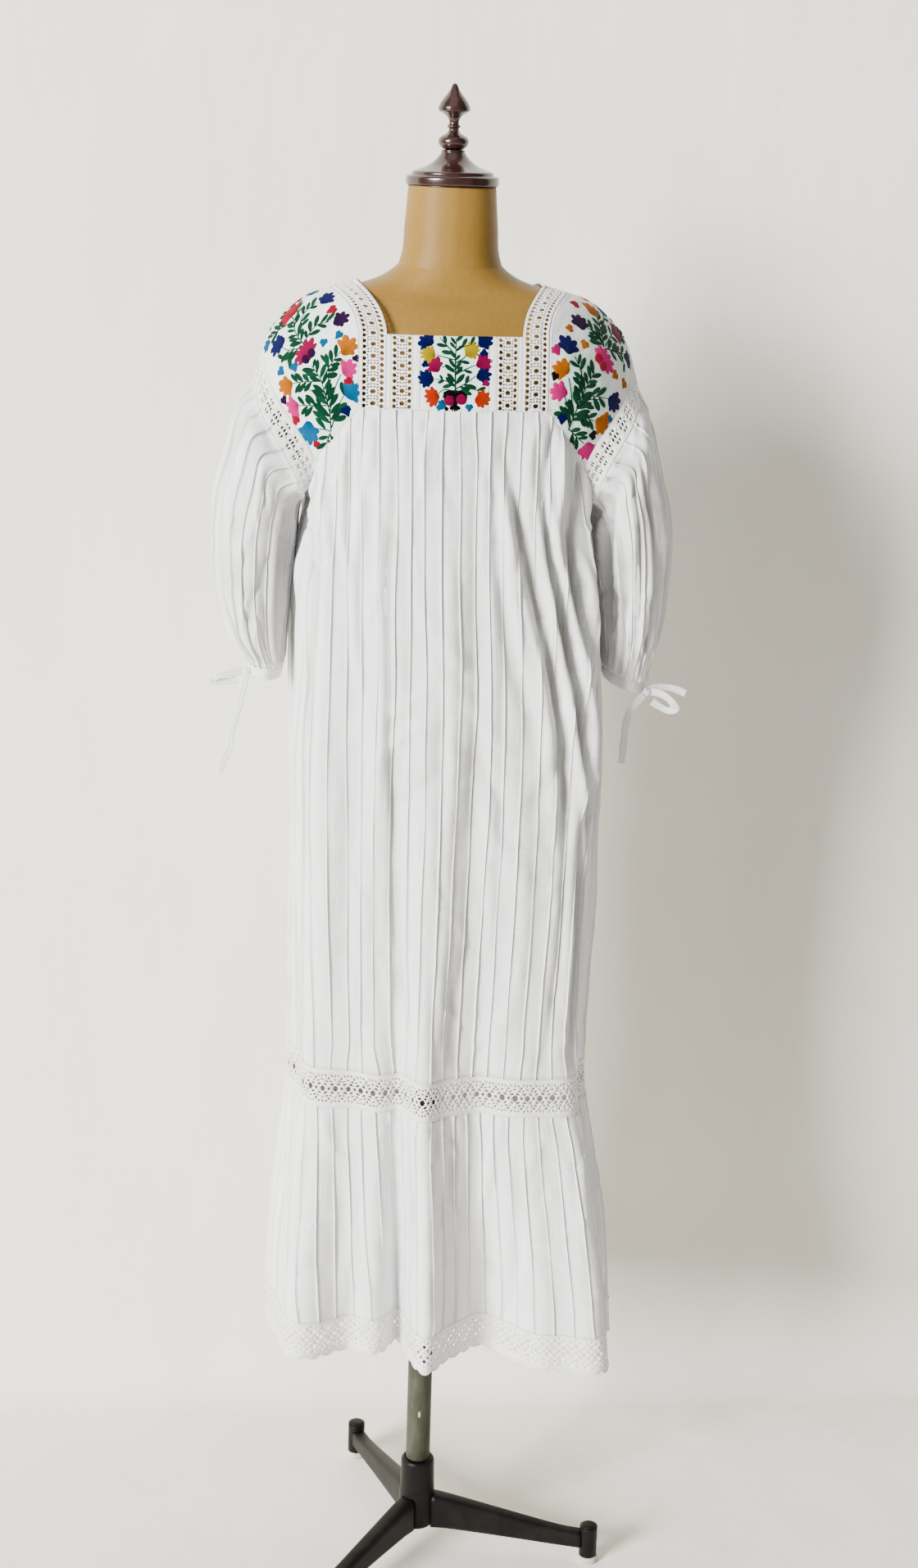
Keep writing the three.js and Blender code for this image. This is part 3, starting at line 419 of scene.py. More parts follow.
def painted_crease_shade(columns, strength, soft):
    """How much shade is painted into the cloth's colour, beside each tuck and down in its creases, from 0 to 1.
    """
    off = (columns - np.floor(columns)) - TUCK_PLACE
    beside = np.exp(-((off - 0.055) / 0.034) ** 2) + 0.3 * np.exp(-((off + 0.09) / 0.05) ** 2)
    return np.clip(0.85 * beside * np.clip(strength, 0, 1) + np.clip(-soft / 8, 0, 0.95), 0, 1)


def tuck_wander(u, heights, seed):
    """How far the cloth's threads stray sideways, in millimetres."""
    return 3.4 * ripple(u, heights * 0.3, seed, 85) + 0.8 * ripple(u, heights * 0.6, seed + 1, 45)


def cell_puff(columns, heights, seed):
    """The cloth between two tucks stands up a little, unevenly from cell to cell."""
    draw = np.random.default_rng(seed)
    cells = int(columns[-1]) + 2
    knots = np.linspace(heights.min(), heights.max(), 9)
    sizes = draw.uniform(-0.55, 1.0, (9, cells))
    level = np.clip((heights - knots[0]) / max(np.ptp(knots), 1) * 8, 0, 7.999)
    whole = level.astype(int)
    part = level - whole
    part = part * part * (3 - 2 * part)
    cell = np.broadcast_to(np.floor(columns - TUCK_PLACE + 1).astype(int), heights.shape)
    amount = sizes[whole, cell] * (1 - part) + sizes[whole + 1, cell] * part
    inside = (columns - TUCK_PLACE) % 1.0
    return amount * np.sin(np.pi * inside) ** 1.5


def creases(u, z, rows):
    """Soft creases: rows of (u, z, tilt in degrees, length, width, depth), in millimetres."""
    total = np.zeros(np.broadcast(u, z).shape)
    for at, height, tilt, length, width, depth in rows:
        a = math.radians(tilt)
        du, dz = u - at, z - height
        along = du * math.sin(a) + dz * math.cos(a)
        over = du * math.cos(a) - dz * math.sin(a) + 9 * (along / length) ** 2 * math.sin(at + height)
        total += depth * np.exp(-(over / width) ** 2 - (along / length) ** 4) * (1 - 0.45 * over / width)
    return total


def small_creases(seed, count, wide, low, high, depth=1.0):
    """Rows for creases(): short uneven creases of crumpled cotton, mostly running aslant."""
    draw = np.random.default_rng(seed)
    return [(draw.uniform(0.03, 0.97) * wide, draw.uniform(low, high),
             draw.choice((-1, 1)) * draw.uniform(12, 68), draw.uniform(14, 40), draw.uniform(3.2, 6.0),
             depth * draw.choice((-1, 1)) * draw.uniform(0.6, 1.4)) for _ in range(count)]


def ripple(u, z, seed, wave, count=7):
    """An uneven soft surface from a few crossing waves, between about -1 and 1."""
    draw = np.random.default_rng(seed)
    total = 0
    for _ in range(count):
        angle = draw.uniform(-0.9, 0.9)
        k = 2 * np.pi / (wave * draw.uniform(0.7, 1.6))
        total = total + np.sin(k * (u * math.cos(angle) + z * math.sin(angle) * 0.6) + draw.uniform(0, 6.3))
    return total / math.sqrt(count * 2)


def make_mesh(name, points, faces, flat, material, sharp=()):
    """A mesh object in metres from points in millimetres; flat is its cloth layout in metres."""
    mesh = bpy.data.meshes.new(name)
    mesh.from_pydata(((np.asarray(points) + POLE) / 1000).tolist(), [], faces)
    mesh.shade_smooth()
    if len(sharp):
        smooth = np.ones(len(mesh.polygons), bool)
        smooth[np.asarray(sharp)] = False
        mesh.polygons.foreach_set("use_smooth", smooth)
    corners = np.empty(len(mesh.loops), np.int32)
    mesh.loops.foreach_get("vertex_index", corners)
    mesh.uv_layers.new(name="flat").data.foreach_set("uv", np.asarray(flat, np.float32)[corners].ravel())
    mesh.materials.append(material)
    mesh.update()
    return new_object(name, mesh)


def settle(piece, stands_for=None):
    """Fixes a piece to the dress's one body, and hides the solid that it stands for."""
    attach(piece, "root")
    if stands_for:
        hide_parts(stands_for)
    return piece


def cloth_shell(name, points, lift, flat, material, ring=False, inner=None, thick=VOILE, normals=None,
                painted_shade=None):
    """A thin closed shell: the outer face takes the whole lift, the inner one only its soft part."""
    soft, raised = lift
    rows, columns = points.shape[:2]
    normal = grid_normals(points, ring) if normals is None else normals
    middle = points + normal * soft[..., None]
    outer = middle + normal * (thick / 2 + raised)[..., None]
    cells = columns if ring else columns - 1
    inner = list(range(columns)) if inner is None else inner
    inside = (middle - normal * thick / 2)[:, inner]
    start = rows * columns
    every = len(inner)
    inner_cells = every if ring else every - 1
    o = lambda r, c: r * columns + c % columns
    i = lambda r, c: start + r * every + c % every
    faces = [(o(r, c), o(r + 1, c), o(r + 1, c + 1), o(r, c + 1))
             for r in range(rows - 1) for c in range(cells)]
    faces += [(i(r, c), i(r, c + 1), i(r + 1, c + 1), i(r + 1, c))
              for r in range(rows - 1) for c in range(inner_cells)]
    sharp_from = len(faces)
    for c in range(inner_cells):
        a = inner[c]
        b = inner[c + 1] if c + 1 < every else columns
        edge = list(range(a, b + 1))
        faces.append((*[o(0, k) for k in edge], i(0, c + 1), i(0, c)))
        faces.append((*[o(rows - 1, k) for k in reversed(edge)], i(rows - 1, c), i(rows - 1, c + 1)))
    if not ring:
        for r in range(rows - 1):
            faces.append((o(r, 0), i(r, 0), i(r + 1, 0), o(r + 1, 0)))
            faces.append((o(r, cells), o(r + 1, cells), i(r + 1, inner_cells), i(r, inner_cells)))
    every_point = np.concatenate([outer.reshape(-1, 3), inside.reshape(-1, 3)])
    layout = np.concatenate([flat.reshape(-1, 2), flat[:, inner].reshape(-1, 2)]) / 1000
    piece = make_mesh(name, every_point, faces, layout, material, range(sharp_from, len(faces)))
    # The painted shade goes onto both faces as a point attribute, which the cloth's material reads.
    if painted_shade is not None:
        depth = np.concatenate([painted_shade.ravel(), painted_shade[:, inner].ravel()])
        layer = piece.data.attributes.new("painted_shade", "FLOAT", "POINT")
        layer.data.foreach_set("value", depth.astype(np.float32))
    return piece


def inner_columns(columns, ring=False):
    keep = [k for k in range(len(columns)) if k % len(CELL) in INNER_CELL]
    return keep if ring else sorted(set(keep + [len(columns) - 1]))


def uv_place(material, scale=(1, 1, 1)):
    """The piece's own flat layout, in metres of cloth."""
    place = node(material, "ShaderNodeUVMap", uv_map="flat").outputs[0]
    return node(material, "ShaderNodeMapping", [(place, "Vector")], Scale=scale).outputs[0]


def multiplied(material, colour, *layers):
    """A colour multiplied by further layers of colour."""
    for layer in layers:
        colour = node(material, "ShaderNodeMix", [(colour, "A"), (layer, "B")], data_type="RGBA",
                      blend_type="MULTIPLY", Factor=1.0).outputs["Result"]
    return colour


def voile_material(name, stained=False):
    """Fine plain-weave cotton: a thread grid, slubs, faint unevenness, a soft sheen and shade painted into
    creases.
    """
    tint = (0.90, 0.90, 0.905)
    cloth = shader(name, tint, 0.85, Sheen_Weight=0.1, Sheen_Roughness=0.5, Specular_IOR_Level=0.15)
    weave = node(cloth, "ShaderNodeMath", operation="MAXIMUM")
    for k, (direction, scale) in enumerate((("X", (1, 0, 0)), ("Y", (0, 1, 0)))):
        threads = pattern(cloth, "Wave", uv_place(cloth, scale), bands_direction=direction, Scale=300.0,
                          Distortion=2.0, Detail=2.0)
        cloth.node_tree.links.new(threads, weave.inputs[k])
    slub = pattern(cloth, "Noise", uv_place(cloth, (900, 14, 1)), Scale=1.0, Detail=3.0)
    slub_down = pattern(cloth, "Noise", uv_place(cloth, (14, 900, 1)), Scale=1.0, Detail=3.0)
    patch = pattern(cloth, "Noise", object_place(cloth), Scale=7.0, Detail=4.0)
    # Painted shade: a point attribute darkens the colour beside each tuck and down in the creases.
    painted_shade = node(cloth, "ShaderNodeAttribute", attribute_name="painted_shade").outputs["Fac"]
    uneven = [(0.32, tuple(0.945 * c for c in tint)), (0.68, tuple(1.02 * c for c in tint))]
    colour = multiplied(
        cloth, ramp(cloth, patch, uneven),
        ramp(cloth, slub, [(0.35, (0.89, 0.89, 0.90)), (0.62, (1, 1, 1))]),
        ramp(cloth, slub_down, [(0.35, (0.92, 0.92, 0.93)), (0.62, (1, 1, 1))]),
        ramp(cloth, painted_shade, [(0.0, (1, 1, 1)), (1.0, (0.56, 0.555, 0.54))]))
    if stained:
        bleed = node(cloth, "ShaderNodeAttribute", attribute_name="bleed").outputs["Fac"]
        colour = node(cloth, "ShaderNodeMix", [(bleed, "Factor"), (colour, "A")], data_type="RGBA",
                      blend_type="MULTIPLY", B=(0.70, 0.97, 0.84, 1)).outputs["Result"]
    connect(cloth, colour, "Base Color")
    crinkle = pattern(cloth, "Noise", uv_place(cloth, (1, 0.5, 1)), Scale=75.0, Detail=4.0, Distortion=0.8)
    under = bump(cloth, weave.outputs[0], 0.3, 0.0003)
    under = bump(cloth, slub, 0.4, 0.0004, under)
    under = bump(cloth, crinkle, 0.30, 0.0035, under)
    connect(cloth, bump(cloth, patch, 0.12, 0.004, under), "Normal")
    return cloth


def tucked_cloth(name, stands_for, points, layout, columns, soft, seed, high=1.9, ring=False, painted_shade_share=1.0):
    """A piece of pin-tucked voile: its tucks stand on the soft form, with shade painted beside them and in
    creases.
    """
    strength = tuck_strength(columns, layout[1], seed)
    piece = cloth_shell(name, points, (soft, tuck_rise(columns, high) * strength), np.stack(layout, -1), voile,
                        ring, inner_columns(columns, ring), painted_shade=painted_crease_shade(columns, strength, soft) * painted_shade_share)
    return settle(piece, stands_for)


voile = voile_material("cotton_voile")
stained_voile = voile_material("embroidered_voile", stained=True)

# Creases of the body: place across in mm from the left seam, height, tilt, length, width, depth.
BODY_CREASES = {"front": [
    (78, 1338, -28, 46, 7, 4.2), (98, 1322, -14, 60, 6, 3.4), (62, 1296, -38, 44, 8, -4),
    (52, 1252, -12, 70, 9, 4.6), (92, 1210, 4, 90, 8, -3.2), (120, 1330, -4, 80, 6, 2.8),
    (150, 1345, 3, 60, 5, 2.2), (138, 1262, 2, 110, 7, 3), (196, 1120, 58, 34, 7, 1.6),
    (188, 1080, 52, 40, 8, 1.8), (214, 1030, 48, 36, 8, -1.6), (240, 1186, -34, 60, 8, 1.4),
    (262, 1120, -40, 70, 9, 1.5), (286, 1042, -36, 60, 9, -1.4), (300, 962, -30, 56, 8, 1.5),
    (372, 1356, 5, 70, 6, 4.4), (394, 1320, 9, 96, 7, -4.6), (412, 1290, 10, 120, 8, 5),
    (428, 1236, 8, 110, 7, -3.6), (446, 1352, 18, 60, 6, 3.2), (456, 1272, 12, 70, 8, 3.4),
    (402, 1100, 6, 130, 9, 3.2), (424, 1010, 5, 120, 9, -3), (366, 1120, 24, 60, 9, 1.8),
    (352, 1040, 28, 52, 9, -1.6), (300, 1330, -30, 44, 8, 1.2), (210, 1350, 24, 40, 8, 1.3),
    (110, 900, 2, 150, 10, 2.2), (170, 820, -2, 120, 9, -1.8), (330, 840, 3, 120, 10, 2),
    (244, 790, -2, 90, 9, 2.6), (262, 760, 2, 80, 8, -2.4), (60, 980, -4, 130, 9, 2.6),
    (338, 1165, -8, 200, 6.5, 3.4), (351, 1165, -8.5, 210, 6, -7.8), (365, 1160, -8.5, 210, 5.5, 5.2),
    (378, 1155, -9, 200, 6, -8), (392, 1150, -9, 200, 5.5, 5.6), (405, 1145, -8.5, 190, 6, -7.8),
    (419, 1140, -8, 190, 6, 4.8), (434, 1130, -6, 200, 7, -6.4), (451, 1110, -3, 240, 7, 4),
    (467, 1090, 0, 260, 8, -4), (168, 1190, -1, 210, 4, 2.2), (175, 1180, -1, 210, 4.5, -3.6),
    (300, 1250, -6, 130, 7, -3.4), (316, 1240, -6, 130, 6, 3), (404, 860, -2, 160, 7, -4.6),
    (420, 850, -1, 160, 7, 3.4), (436, 860, 0, 170, 7, -4.6), (376, 820, 2, 120, 8, -2.4),
    (186, 900, -3, 150, 5, -2.6), (244, 1110, -1, 260, 8, 2.2), (268, 1080, -1, 290, 9, -3.2),
    (290, 1060, -1, 250, 8, 1.8), (104, 1130, -1, 240, 9, 1.8), (84, 1100, 1, 260, 8, -2.4),
    (28, 1150, 2, 180, 9, -4), (46, 1160, 2, 180, 8, 2.8), (330, 1100, -2, 260, 9, -1.6),
    (64, 1316, -52, 30, 5, 3), (56, 1302, -48, 34, 5, -3.2), (70, 1286, -40, 36, 6, 2.6),
    (430, 1318, 50, 30, 5, 2.8), (440, 1300, 44, 34, 5, -3), (424, 1284, 38, 36, 6, 2.4),
    (216, 1392, 2, 40, 5, 1.8), (236, 1384, -3, 50, 5, -1.8), (330, 1390, 3, 46, 5, 1.8),
    (348, 1372, 6, 60, 5, -2.2), (120, 1390, 10, 40, 5, 2.2), (134, 1380, 6, 46, 5, -2.2),
], "back": [
    (70, 1330, 22, 60, 8, 3.6), (96, 1290, 14, 80, 8, -3.2), (58, 1230, 8, 90, 9, 3.6),
    (130, 1320, 6, 80, 7, 2.6), (176, 1352, -6, 60, 6, 2), (250, 1340, 4, 70, 7, 2.2),
    (310, 1330, -5, 80, 7, -2), (372, 1316, -10, 90, 8, 3.4), (400, 1280, -14, 90, 8, -3.4),
    (430, 1230, -10, 100, 9, 3.8), (240, 1180, 34, 60, 9, 1.8), (210, 1110, 30, 70, 9, -1.6),
    (300, 1100, -30, 70, 9, 1.8), (330, 1020, -26, 60, 9, -1.7), (150, 1010, 24, 60, 9, 1.7),
    (120, 900, 3, 140, 10, 2.2), (220, 860, -3, 130, 10, 2), (350, 880, 2, 130, 10, -2),
    (400, 940, -4, 120, 9, 2.4), (80, 1080, -4, 120, 9, 2.4), (276, 760, 4, 90, 9, 2),
    (36, 1090, 2, 270, 7, -5), (52, 1100, 2, 270, 6, 3.6), (68, 1100, 1, 260, 7, -4.2),
    (196, 1120, 0, 260, 8, 2.2), (222, 1100, 1, 280, 9, -3), (300, 1080, -1, 260, 8, -2.6),
    (428, 1100, -2, 250, 8, -4.2), (446, 1100, -2, 250, 8, 3.4), (150, 1090, 2, 240, 9, -2),
    (430, 1318, -50, 30, 5, 2.8), (64, 1312, 48, 32, 5, 2.8), (356, 1100, -1, 240, 9, 2),
]}
PANEL_ROWS = 124
BODY_WIDE = 490

for back, side in enumerate(("front", "back")):
    columns = tuck_columns(TUCKS["body"])
    share = columns / TUCKS["body"]
    top = panel_top(side, columns)
    drops = np.linspace(0, 1, PANEL_ROWS) ** 1.25
    heights = top[:, 2] + (LEVEL["lace_top"] - top[:, 2]) * drops[:, None]
    fall = top[:, 2] - heights
    inner_part = (np.sin(np.pi * share) ** 0.5 * smoothstep(fall, 0, 60)
                  * smoothstep(heights - LEVEL["lace_top"], 0, 40))
    stray = tuck_wander(share * BODY_WIDE, heights, 71) / BODY_WIDE * inner_part
    hold = np.exp(-(fall / 120) ** 2)
    points = hanging(side, share + stray, heights) + (top - hanging(side, share, top[:, 2])) * hold[..., None]
    u = share * BODY_WIDE + 0 * heights
    ease = smoothstep(drops, 0, 0.02)[:, None] * smoothstep(1 - drops, 0, 0.03)[:, None]
    gather = np.exp(-fall / 95) * smoothstep(fall, 0, 22) * 2.4
    crumple = small_creases(91 + back, 110, BODY_WIDE, 700, 1400)
    soft = (1.45 * creases(u, heights, BODY_CREASES[side]) + creases(u, heights, crumple)
            + 0.9 * ripple(u, heights, 5, 60) + 0.45 * ripple(u, heights, 6, 26)) * ease
    soft = soft + cell_puff(columns, heights, 11 + back) * (1.2 + gather) * ease
    sides_out = (np.exp(-((heights - 1245) / 85) ** 2)
                 * (np.exp(-(u / 60) ** 2) + np.exp(-((BODY_WIDE - u) / 60) ** 2)))
    soft = soft + 8.0 * sides_out * ease
    # Less shade is painted on the sides, where they bulge out to meet the sleeves.
    piece = tucked_cloth(f"{side}_body_panel", f"{side}_panel", points, (u, heights), columns, soft, 81 + back,
                         painted_shade_share=1 - 0.8 * sides_out)

# ---- Lace insertion and hem lace ----------------------------------------------------------
# Bands of white cotton crochet, sewn between the body and the flounce and along the hem. Each
# is one flat strip with its gaps worked in, and the hem's lower edge is scalloped.
LACE_THICK = 1.0
LACE_RELIEF = 0.35
INSERTION = {"repeats": 36, "pitch": 13.6}
HEM = {"repeats": 40, "pitch": 17.0, "scallop": 4.0}
# One repeat's gaps: place across and down from its middle, length, width, turn in degrees.
INSERTION_GAPS = [
    (0, 0, 8.2, 6.0, 0), (0, -10.8, 3.4, 2.0, 90), (0, 10.8, 3.4, 2.0, 90),
    *[(sx * x, sy * y, long, wide, sx * sy * 58)
      for x, y, long, wide in ((3.3, 5.2, 4.6, 2.8), (4.7, 8.9, 3.6, 2.2)) for sx in (-1, 1) for sy in (-1, 1)],
    (6.8, -12.4, 4.0, 2.4, 0), (6.8, 12.4, 4.0, 2.4, 0), (6.8, 0, 4.4, 3.2, 0),
    *[(x, sy * 15.6, 3.2, 1.8, sy * t) for x, t in ((-3.6, 24), (0, -20), (3.6, 28)) for sy in (-1, 1)],
]
HEM_GAPS = [
    (0, -10.5, 5.2, 4, 0), (4.3, -5.6, 4.4, 2.6, 38), (-4.3, -5.6, 4.4, 2.6, -38), (8.5, -1.2, 5.8, 4.3, 0),
    (4.3, 3.6, 4.4, 2.6, -38), (-4.3, 3.6, 4.4, 2.6, 38), (0, 8.4, 5.2, 4, 0), (0, -2.4, 2.2, 1.4, 0),
    (2.9, 1, 1.8, 1.1, 50), (-2.9, 1, 1.8, 1.1, -50), (4.6, -14.4, 2.6, 1.3, -30),
    (-4.6, -14.4, 2.6, 1.3, 30), (0, -17.2, 2.6, 1.3, 0), (5.2, 10.8, 3, 1.5, 35),
    (-5.2, 10.8, 3, 1.5, -35), (8.5, 14, 2.8, 2, 0), (0, 15.2, 2.6, 1.5, 90), (8.5, -9.2, 2.2, 1.4, 90),
    (8.5, 7, 2, 1.3, 90),
]


def gap_outline(at, down, long, wide, turn):
    """A six-sided gap between the worked threads."""
    angles = (np.arange(6) + 0.5) / 6 * 2 * np.pi
    a = math.radians(turn)
    x, y = np.sin(angles) * wide / 2, np.cos(angles) * long / 2
    return np.stack([at + x * math.cos(a) - y * math.sin(a), down + x * math.sin(a) + y * math.cos(a)], 1)


def repeat_gaps(gaps, pitch, count, middle, seed):
    """The gaps of every repeat along a band, each a little uneven, kept inside its ends."""
    draw = np.random.default_rng(seed)
    placed = []
    for k in range(count):
        for at, down, long, wide, turn in gaps:
            x = (k + 0.5) * pitch + at + draw.uniform(-0.25, 0.25)
            size = draw.uniform(0.88, 1.1)
            row = (x, middle + down + draw.uniform(-0.25, 0.25), long * size, wide * size,
                   turn + draw.uniform(-6, 6))
            if 1.4 < x < pitch * count - 1.4:
                placed.append(row)
    return placed


def lace_piece(name, stands_for, width, height, gaps, surface, step, edge=None):
    """A crocheted strip: surface(u, v) gives points and normals, edge(u) its lower edge."""
    edge = edge or (lambda u: height + 0 * u)
    across = np.linspace(0, width, max(2, int(round(width / step)) + 1))
    downs = np.linspace(0, height, max(2, int(round(height / step)) + 1))
    border = [(u, 0.0) for u in across] + [(width, v) for v in downs[1:-1]]
    border += [(u, float(edge(u))) for u in across[::-1]] + [(0.0, v) for v in downs[-2:0:-1]]
    points, owner = list(border), [-1] * len(border)
    edges = [(k, (k + 1) % len(border)) for k in range(len(border))]
    for g, gap in enumerate(gaps):
        ring = gap_outline(*gap)
        start = len(points)
        points += [tuple(p) for p in ring]
        owner += [g] * len(ring)
        edges += [(start + k, start + (k + 1) % len(ring)) for k in range(len(ring))]
    fill_u, fill_v = np.meshgrid(across[1:-1] + 0.4, downs[1:-1])
    fill = np.stack([fill_u.ravel(), fill_v.ravel()], 1)
    centres = np.array([g[:2] for g in gaps])
    reach = np.array([max(g[2], g[3]) / 2 + 0.7 for g in gaps])
    order = np.argsort(centres[:, 0])
    centres, reach = centres[order], reach[order]
    keep = np.ones(len(fill), bool)
    for k, point in enumerate(fill):
        near = slice(*np.searchsorted(centres[:, 0], (point[0] - 4.5, point[0] + 4.5)))
        keep[k] = not (np.hypot(*(centres[near] - point).T) < reach[near]).any()
    fill = fill[keep]
    points += [tuple(p) for p in fill]
    owner += [-1] * len(fill)
    flat_points, _, triangles, origin, _, _ = delaunay_2d_cdt([Vector(p) for p in points], edges, [], 0, 1e-4)
    flat_points = np.array([tuple(p) for p in flat_points])
    of_gap = np.array([owner[o[0]] if o else -2 for o in origin])
    kept = []
    for a, b, c in triangles:
        middle = flat_points[[a, b, c]].mean(0)
        in_gap = of_gap[a] >= 0 and of_gap[a] == of_gap[b] == of_gap[c]
        if not in_gap and middle[1] <= edge(middle[0]):
            kept.append((a, b, c))
    kept = np.array(kept)
    place, normal = surface(flat_points[:, 0], flat_points[:, 1])
    loops = np.sin(flat_points[:, 0] * 2.1) * np.sin(flat_points[:, 1] * 1.7)
    raised = np.where(of_gap >= 0, -0.12, LACE_RELIEF * (0.5 + 0.5 * loops))
    outer = place + normal * (LACE_THICK / 2 + raised)[:, None]
    inside = place - normal * LACE_THICK / 2
    a, b, c = (outer[kept[:, k]] for k in range(3))
    flip = np.einsum("ij,ij->i", np.cross(b - a, c - a), normal[kept[:, 0]]) < 0
    kept[flip] = kept[flip][:, ::-1]
    count = len(flat_points)
    half_edges = np.concatenate([kept[:, [0, 1]], kept[:, [1, 2]], kept[:, [2, 0]]])
    there = {tuple(e) for e in half_edges.tolist()}
    rim = [(b, a, a + count, b + count) for a, b in there if (b, a) not in there]
    faces = kept.tolist() + (kept[:, ::-1] + count).tolist() + sorted(rim)
    layout = np.tile(flat_points, (2, 1)) / 1000
    piece = make_mesh(name, np.concatenate([outer, inside]), faces, layout, crochet,
                      range(2 * len(kept), len(faces)))
    return settle(piece, stands_for)


def surface_frame(point_at):
    """Turns a point function of (u, v) in millimetres into one that gives normals too."""
    def with_normals(u, v):
        place = point_at(u, v)
        across = point_at(u + 0.4, v) - point_at(u - 0.4, v)
        down = point_at(u, v + 0.4) - point_at(u, v - 0.4)
        return place, unit(np.cross(down, across))
    return with_normals


def crochet_material(name, tint):
    """Crochet cotton: round plied threads in two directions, with shade painted between its raised loops."""
    yarn = shader(name, tint, 0.88, Sheen_Weight=0.2, Specular_IOR_Level=0.2)
    loops = pattern(yarn, "Voronoi", uv_place(yarn, (900, 650, 1)), feature="SMOOTH_F1", Scale=1.0)
    ply = pattern(yarn, "Wave", uv_place(yarn), bands_direction="DIAGONAL", Scale=420.0, Distortion=5.0,
                  Detail=2.0)
    # Painted shade: the colour darkens away from each loop's middle, down between the loops.
    connect(yarn, ramp(yarn, loops, [(0.1, tint), (0.9, tuple(0.86 * c for c in tint))]), "Base Color")
    connect(yarn, bump(yarn, ply, 0.2, 0.0003, bump(yarn, loops, 0.55, -0.0006)), "Normal")
    return yarn


crochet = crochet_material("crochet_cotton", (0.86, 0.855, 0.835))


def hanging_band(side, width, top):
    """A level band of the hanging cloth as a surface of (u, v) from its top left corner."""
    return surface_frame(lambda u, v: hanging(side, u / width, top - v))


def ring_faces(rows, count):
    """Faces between rows of points that each close to a ring, and an end face on both ends."""
    at = lambda r, c: r * count + c % count
    faces = [(at(r, c), at(r, c + 1), at(r + 1, c + 1), at(r + 1, c))
             for r in range(rows - 1) for c in range(count)]
    return faces + [tuple(reversed(range(count))), tuple(range((rows - 1) * count, rows * count))]


def tube(path, radius):
    """Points and faces of a round cord along a path, and its layout along and around."""
    path = np.asarray(path, float)
    along = unit(np.gradient(path, axis=0))
    guide = np.where(np.abs(along[:, 2:3]) < 0.9, [[0.0, 0, 1]], [[0.0, 1, 0]])
    side_way = unit(np.cross(along, guide))
    up_way = np.cross(side_way, along)
    sides = 6
    angles = np.arange(sides) / sides * 2 * np.pi
    radius = np.broadcast_to(radius, len(path))
    rings = path[:, None] + radius[:, None, None] * (
        np.cos(angles)[:, None] * side_way[:, None] + np.sin(angles)[:, None] * up_way[:, None])
    layout = np.stack([np.repeat(walk(path), sides), np.tile(angles * radius[0], len(path))], 1) / 1000
    return rings.reshape(-1, 3), ring_faces(len(path), sides), layout


def cord_piece(name, parts):
    """One crocheted piece from several cords, each (points, faces, layout)."""
    points, faces, layouts, start = [], [], [], 0
    for part_points, part_faces, layout in parts:
        points.append(part_points)
        layouts.append(layout)
        faces += [tuple(k + start for k in face) for face in part_faces]
        start += len(part_points)
    return settle(make_mesh(name, np.concatenate(points), faces, np.concatenate(layouts), crochet))


def seam_cord(band, width, level):
    """The thicker thread that sews a band on, a little wavy along its edge."""
    u = np.linspace(0, width, 260)
    place, normal = band(u, level + 0.5 * np.sin(u * 1.3))
    return tube(place + normal * 0.7, 0.8)


for side, insertion_long, hem_long, seed in (("front", 0.54, 0.79, 21), ("back", 0.51, 0.64, 22)):
    width, height = INSERTION["repeats"] * INSERTION["pitch"], LEVEL["lace_top"] - LEVEL["lace_bottom"]
    band = hanging_band(side, width, LEVEL["lace_top"])
    gaps = repeat_gaps(INSERTION_GAPS, INSERTION["pitch"], INSERTION["repeats"], height / 2, seed)
    insertion = lace_piece(f"{side}_insertion_lace", f"insertion_lace_{side}", width, height, gaps, band, 3.0)
    edging = cord_piece(f"{side}_insertion_seams",
                        [seam_cord(band, width, level) for level in (0.4, height - 0.4)])

    pitch = HEM["pitch"]
    width, height = HEM["repeats"] * pitch, LEVEL["hem_lace"] - LEVEL["hem"] - HEM["scallop"]
    band = hanging_band(side, width, LEVEL["hem_lace"])
    scallop = lambda u: height + HEM["scallop"] * np.abs(np.sin(np.pi * np.asarray(u) / pitch)) ** 0.8
    gaps = repeat_gaps(HEM_GAPS, pitch, HEM["repeats"], height / 2, seed + 10)
    hem = lace_piece(f"{side}_hem_lace", f"hem_lace_{side}", width, height, gaps, band, 3.4, edge=scallop)
    u = np.linspace(0, width, 520)
    place, normal = band(u, scallop(u) - 0.5)
    edging = cord_piece(f"{side}_hem_edging", [tube(place + normal * 0.3, 1.15), seam_cord(band, width, 0.4)])

# ---- Flounce ------------------------------------------------------------------------------
# The same voile below the insertion, a little wider, with its own pin tucks down to the hem.
FLOUNCE_ROWS = 56
FLOUNCE_WIDE = 640
FLOUNCE_CREASES = {"front": [
    (60, 560, 4, 80, 9, 3), (110, 520, 6, 90, 9, -2.4), (168, 480, 3, 110, 9, 3),
    (240, 600, -8, 50, 8, 2.6), (262, 560, -4, 70, 7, -2.6), (330, 590, 6, 60, 8, 2.4),
    (390, 520, 10, 110, 10, 3.6), (430, 470, 8, 110, 9, -3), (520, 560, 12, 80, 9, 3.6),
    (560, 480, 8, 110, 9, -3.4), (600, 440, 4, 90, 9, 3), (470, 600, 20, 40, 8, 1.8),
    (140, 600, -16, 40, 8, 1.8), (300, 440, -3, 90, 9, 2), (40, 420, 4, 80, 9, 2.6),
], "back": [
    (60, 560, 4, 90, 9, 3), (140, 500, -4, 110, 9, 2.8), (230, 540, 3, 90, 9, -2.6),
    (320, 480, -3, 110, 9, 2.8), (400, 560, 5, 80, 9, -2.4), (480, 470, -4, 110, 9, 3),
    (560, 540, 4, 90, 9, -2.8), (620, 480, 2, 90, 9, 2.6),
]}
